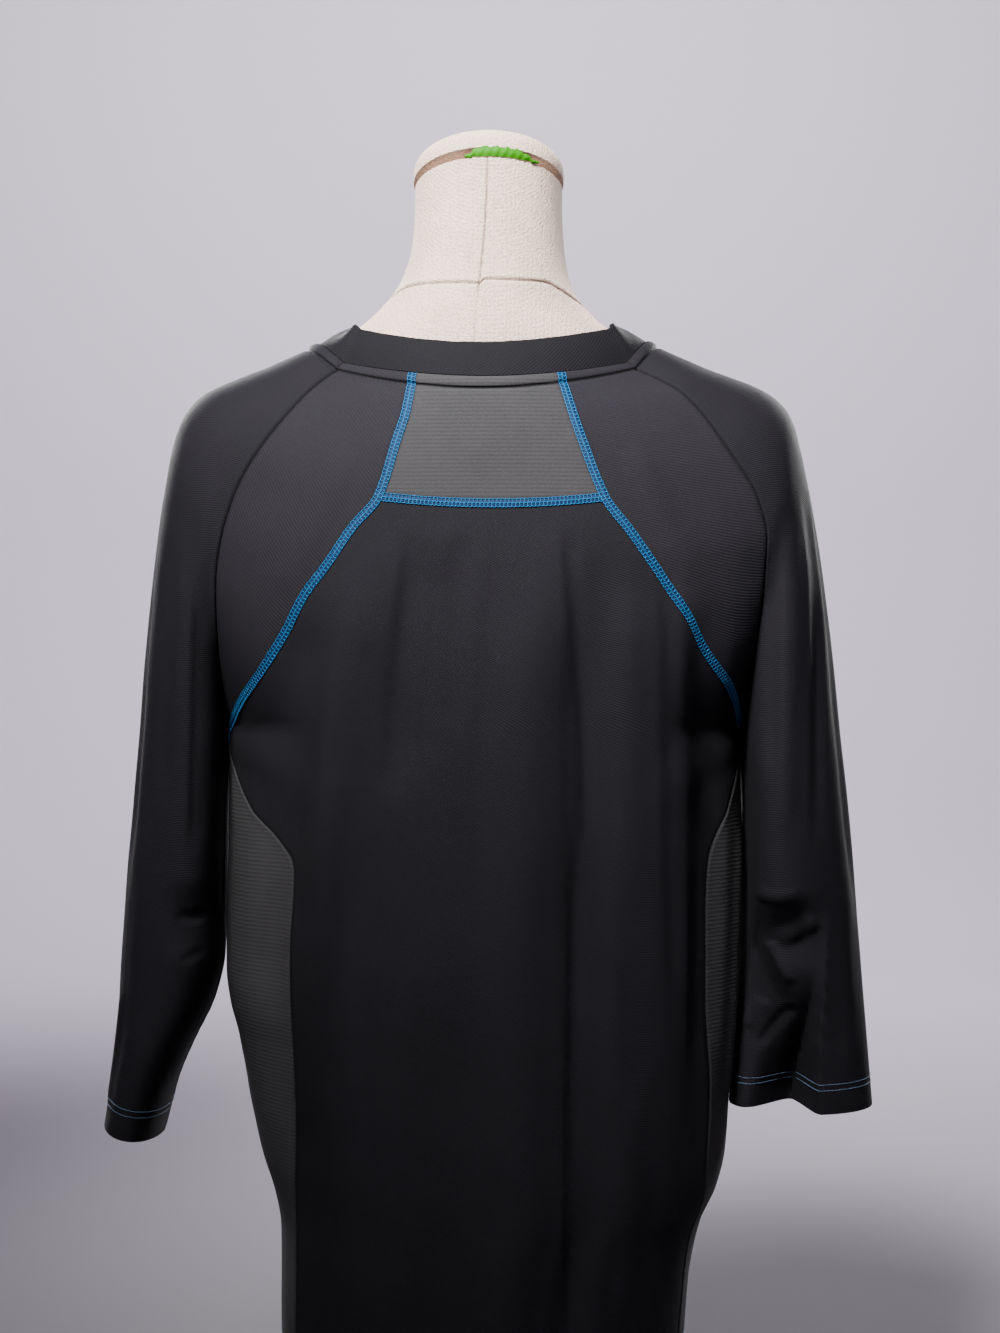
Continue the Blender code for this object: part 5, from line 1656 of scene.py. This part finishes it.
    def tape(self) -> None:
        """A short length of green tape over the gap between the neck and its cap."""
        angle = np.linspace(*(math.asin(x / NECK_HALF) for x in self.tape_ends), 60)
        share = np.linspace(0, 1, 8)[:, None]
        gap = 0.8 * MM + self.cap_radius * self.cap_slope * (1 + np.cos(angle))
        ends = rise(angle, angle[0], angle[0] + 0.35) * (1 - rise(angle, angle[-1] - 0.22, angle[-1]))
        rough = (0.6 * np.sin(angle * 43) + 0.4 * np.sin(angle * 97 + 1)) * MM
        low, high = 0.2 * MM + rough * (1 - ends), gap * (0.30 + 0.58 * ends) + rough
        height = low + (high - low) * share
        out = (0.7 + 0.9 * np.sin(math.pi * share) + 0.2 * np.sin(angle * 61 + 4 * share)) * MM
        x = NECK_MIDDLE + (NECK_HALF + out) * np.sin(angle)
        y = (NECK_DEPTH + out) * np.cos(angle)
        z = NECK_TOP + NECK_RISE * np.cos(angle) + height
        points = np.stack(np.broadcast_arrays(x, y, z), axis=-1)
        normals = grid_normals(points, points * np.array([1, 1, 0]))
        uv = np.stack([lengths_along(points, 1), lengths_along(points, 0)], axis=-1)
        mesh = wall_mesh(points, normals, np.full(x.shape, 0.3 * MM), uv, np.zeros(x.shape))
        finish_piece(mesh.to_object("neck_tape", self.green.material()))

    def stand(self) -> None:
        """The pole with its flange, and the round plate."""
        steel = self.steel.material()
        top, foot = self.bottom - self.gap, PLATE_THICKNESS + self.gap
        flange = [(34.0, -0.5), (34.0, -11.5), (33.5, -12.0), (17.0, -19.0), (16.0, -21.0)]
        flange = np.array([(33.5, 0.0)] + flange) * MM + (0, top)
        pole = np.concatenate([[(AXIS, top)], flange, [(16.0 * MM, foot), (AXIS, foot)]])
        made = turned_mesh(pole, 72).to_object("stand_pole_steel", steel, 30)
        finish_piece(made, "stand_steel", "stand_pole")
        rim = rounded(0.155, PLATE_THICKNESS, 4 * MM, 8)
        under = [(0.155, 1.5 * MM), (0.1535, 0.0), (AXIS, 0.0)]
        plate = np.concatenate([[(AXIS, PLATE_THICKNESS)], rim, under])
        made = turned_mesh(plate, 128).to_object("stand_plate_steel", steel, 30)
        finish_piece(made, "stand_steel", "stand_base")

    def build(self) -> None:
        """Makes the form and its stand."""
        self.body()
        self.cap()
        self.tape()
        self.stand()


# Studio


@dataclass(frozen=True)
class SoftLight:
    """A square soft light that the camera does not see; its spread is in degrees."""

    name: str
    place: tuple[float, float, float]
    aim: tuple[float, float, float]
    size: float
    power: float
    spread: float

    def build(self) -> None:
        """Adds the light, turned so that it looks from its place to its aim."""
        data = bpy.data.lights.new(self.name, "AREA")
        data.spread = math.radians(self.spread)
        data.shape, data.size, data.energy = "SQUARE", self.size, self.power
        made = bpy.data.objects.new(self.name, data)
        x, y, z = np.subtract(self.aim, self.place)
        made.location = self.place
        made.rotation_euler = (math.atan2(math.hypot(x, y), -z), 0, math.atan2(x, -y) + math.pi)
        made.visible_camera = False
        bpy.context.scene.collection.objects.link(made)


LIGHTS = (
    SoftLight("overhead", (0.45, 1.25, 2.15), (0.0, 0.05, 1.11), 0.5, 14.5, 40),
    SoftLight("soft_fill", (0.3, 2.9, 2.2), (0.0, 0.0, 0.8), 1.2, 5, 180),
    SoftLight("backdrop", (0.0, -1.6, 3.4), (0.0, -4.6, 1.6), 2.2, 86, 125),
    SoftLight("front_left", (1.3, -2.9, 1.9), (0.0, 0.0, 0.75), 1.2, 24, 46),
    SoftLight("front_right", (-1.6, -2.7, 1.8), (0.0, 0.0, 0.75), 1.2, 19, 46),
)


@dataclass
class Studio:
    """A plain cove round the object, soft lights above it and past it, and the photo's camera."""

    camera_place: tuple[float, float, float] = (-0.0075, 1.5, 0.70)
    lens: float = 1995 / 1333 * 36.0
    floor_reach: float = 3.4
    wall_reach: float = 4.6
    wall_height: float = 5.0

    def cove(self) -> None:
        """Floor, a quarter round and a wall, carried round the object, its colour darkened near the object
        as painted shade.
        """
        bend = self.wall_reach - self.floor_reach
        turn = np.linspace(0, math.pi / 2, 14)
        floor = np.array([(0.001, 0.0), (0.5, 0.0), (1.6, 0.0), (2.6, 0.0)])
        corner = np.stack([self.floor_reach + bend * np.sin(turn), bend * (1 - np.cos(turn))], axis=1)
        wall = np.array([(self.wall_reach, height) for height in (2.4, 3.6, self.wall_height)])
        mesh = turned_mesh(np.concatenate([floor, corner, wall]), 96)
        mesh = Mesh(mesh.points, mesh.quads[:, ::-1], mesh.uvs[:, ::-1])
        nodes = Nodes("paper_lavender")
        # Painted shade: the floor is dark near the object and turns pale lavender by about 3.2 m out along
        # the profile, where less light falls.
        outwards = nodes.add("SeparateXYZ", {0: nodes.cloth}).outputs["Y"]
        reach = {0: outwards, 1: 0.3, 2: 3.2}
        share = nodes.add("MapRange", reach, interpolation_type="SMOOTHSTEP").outputs[0]
        material = nodes.to_shader(
            Base_Color=nodes.blend(share, (0.10, 0.096, 0.104), (0.80, 0.745, 0.85)),
            Roughness=0.95,
            Specular_IOR_Level=0.1,
        )
        mesh.to_object("studio_cove", material)

    def camera(self) -> None:
        """The photograph's camera: level, behind the wearer's back."""
        data = bpy.data.cameras.new("camera")
        data.lens, data.sensor_width, data.sensor_fit = self.lens, 36.0, "AUTO"
        data.clip_end = 50
        made = bpy.data.objects.new("camera", data)
        made.location = self.camera_place
        made.rotation_euler = (math.radians(90), 0, math.radians(180))
        bpy.context.scene.collection.objects.link(made)
        bpy.context.scene.camera = made

    def world(self) -> None:
        """An even dim surround."""
        world = bpy.data.worlds.new("surround")
        world.use_nodes = True
        background = world.node_tree.nodes["Background"]
        background.inputs["Color"].default_value = (0.80, 0.80, 0.90, 1)
        background.inputs["Strength"].default_value = 0.10
        bpy.context.scene.world = world

    def build(self) -> None:
        """Sets up the whole studio."""
        self.cove()
        self.camera()
        self.world()
        for light in LIGHTS:
            light.build()


def main() -> None:
    """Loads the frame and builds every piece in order."""
    logging.basicConfig(level=logging.INFO, format="%(name)s %(message)s")
    for old in list(bpy.data.objects):
        bpy.data.objects.remove(old)
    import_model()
    Studio().build()
    DressForm().build()
    Garment().build()


if __name__ == "__main__":
    main()
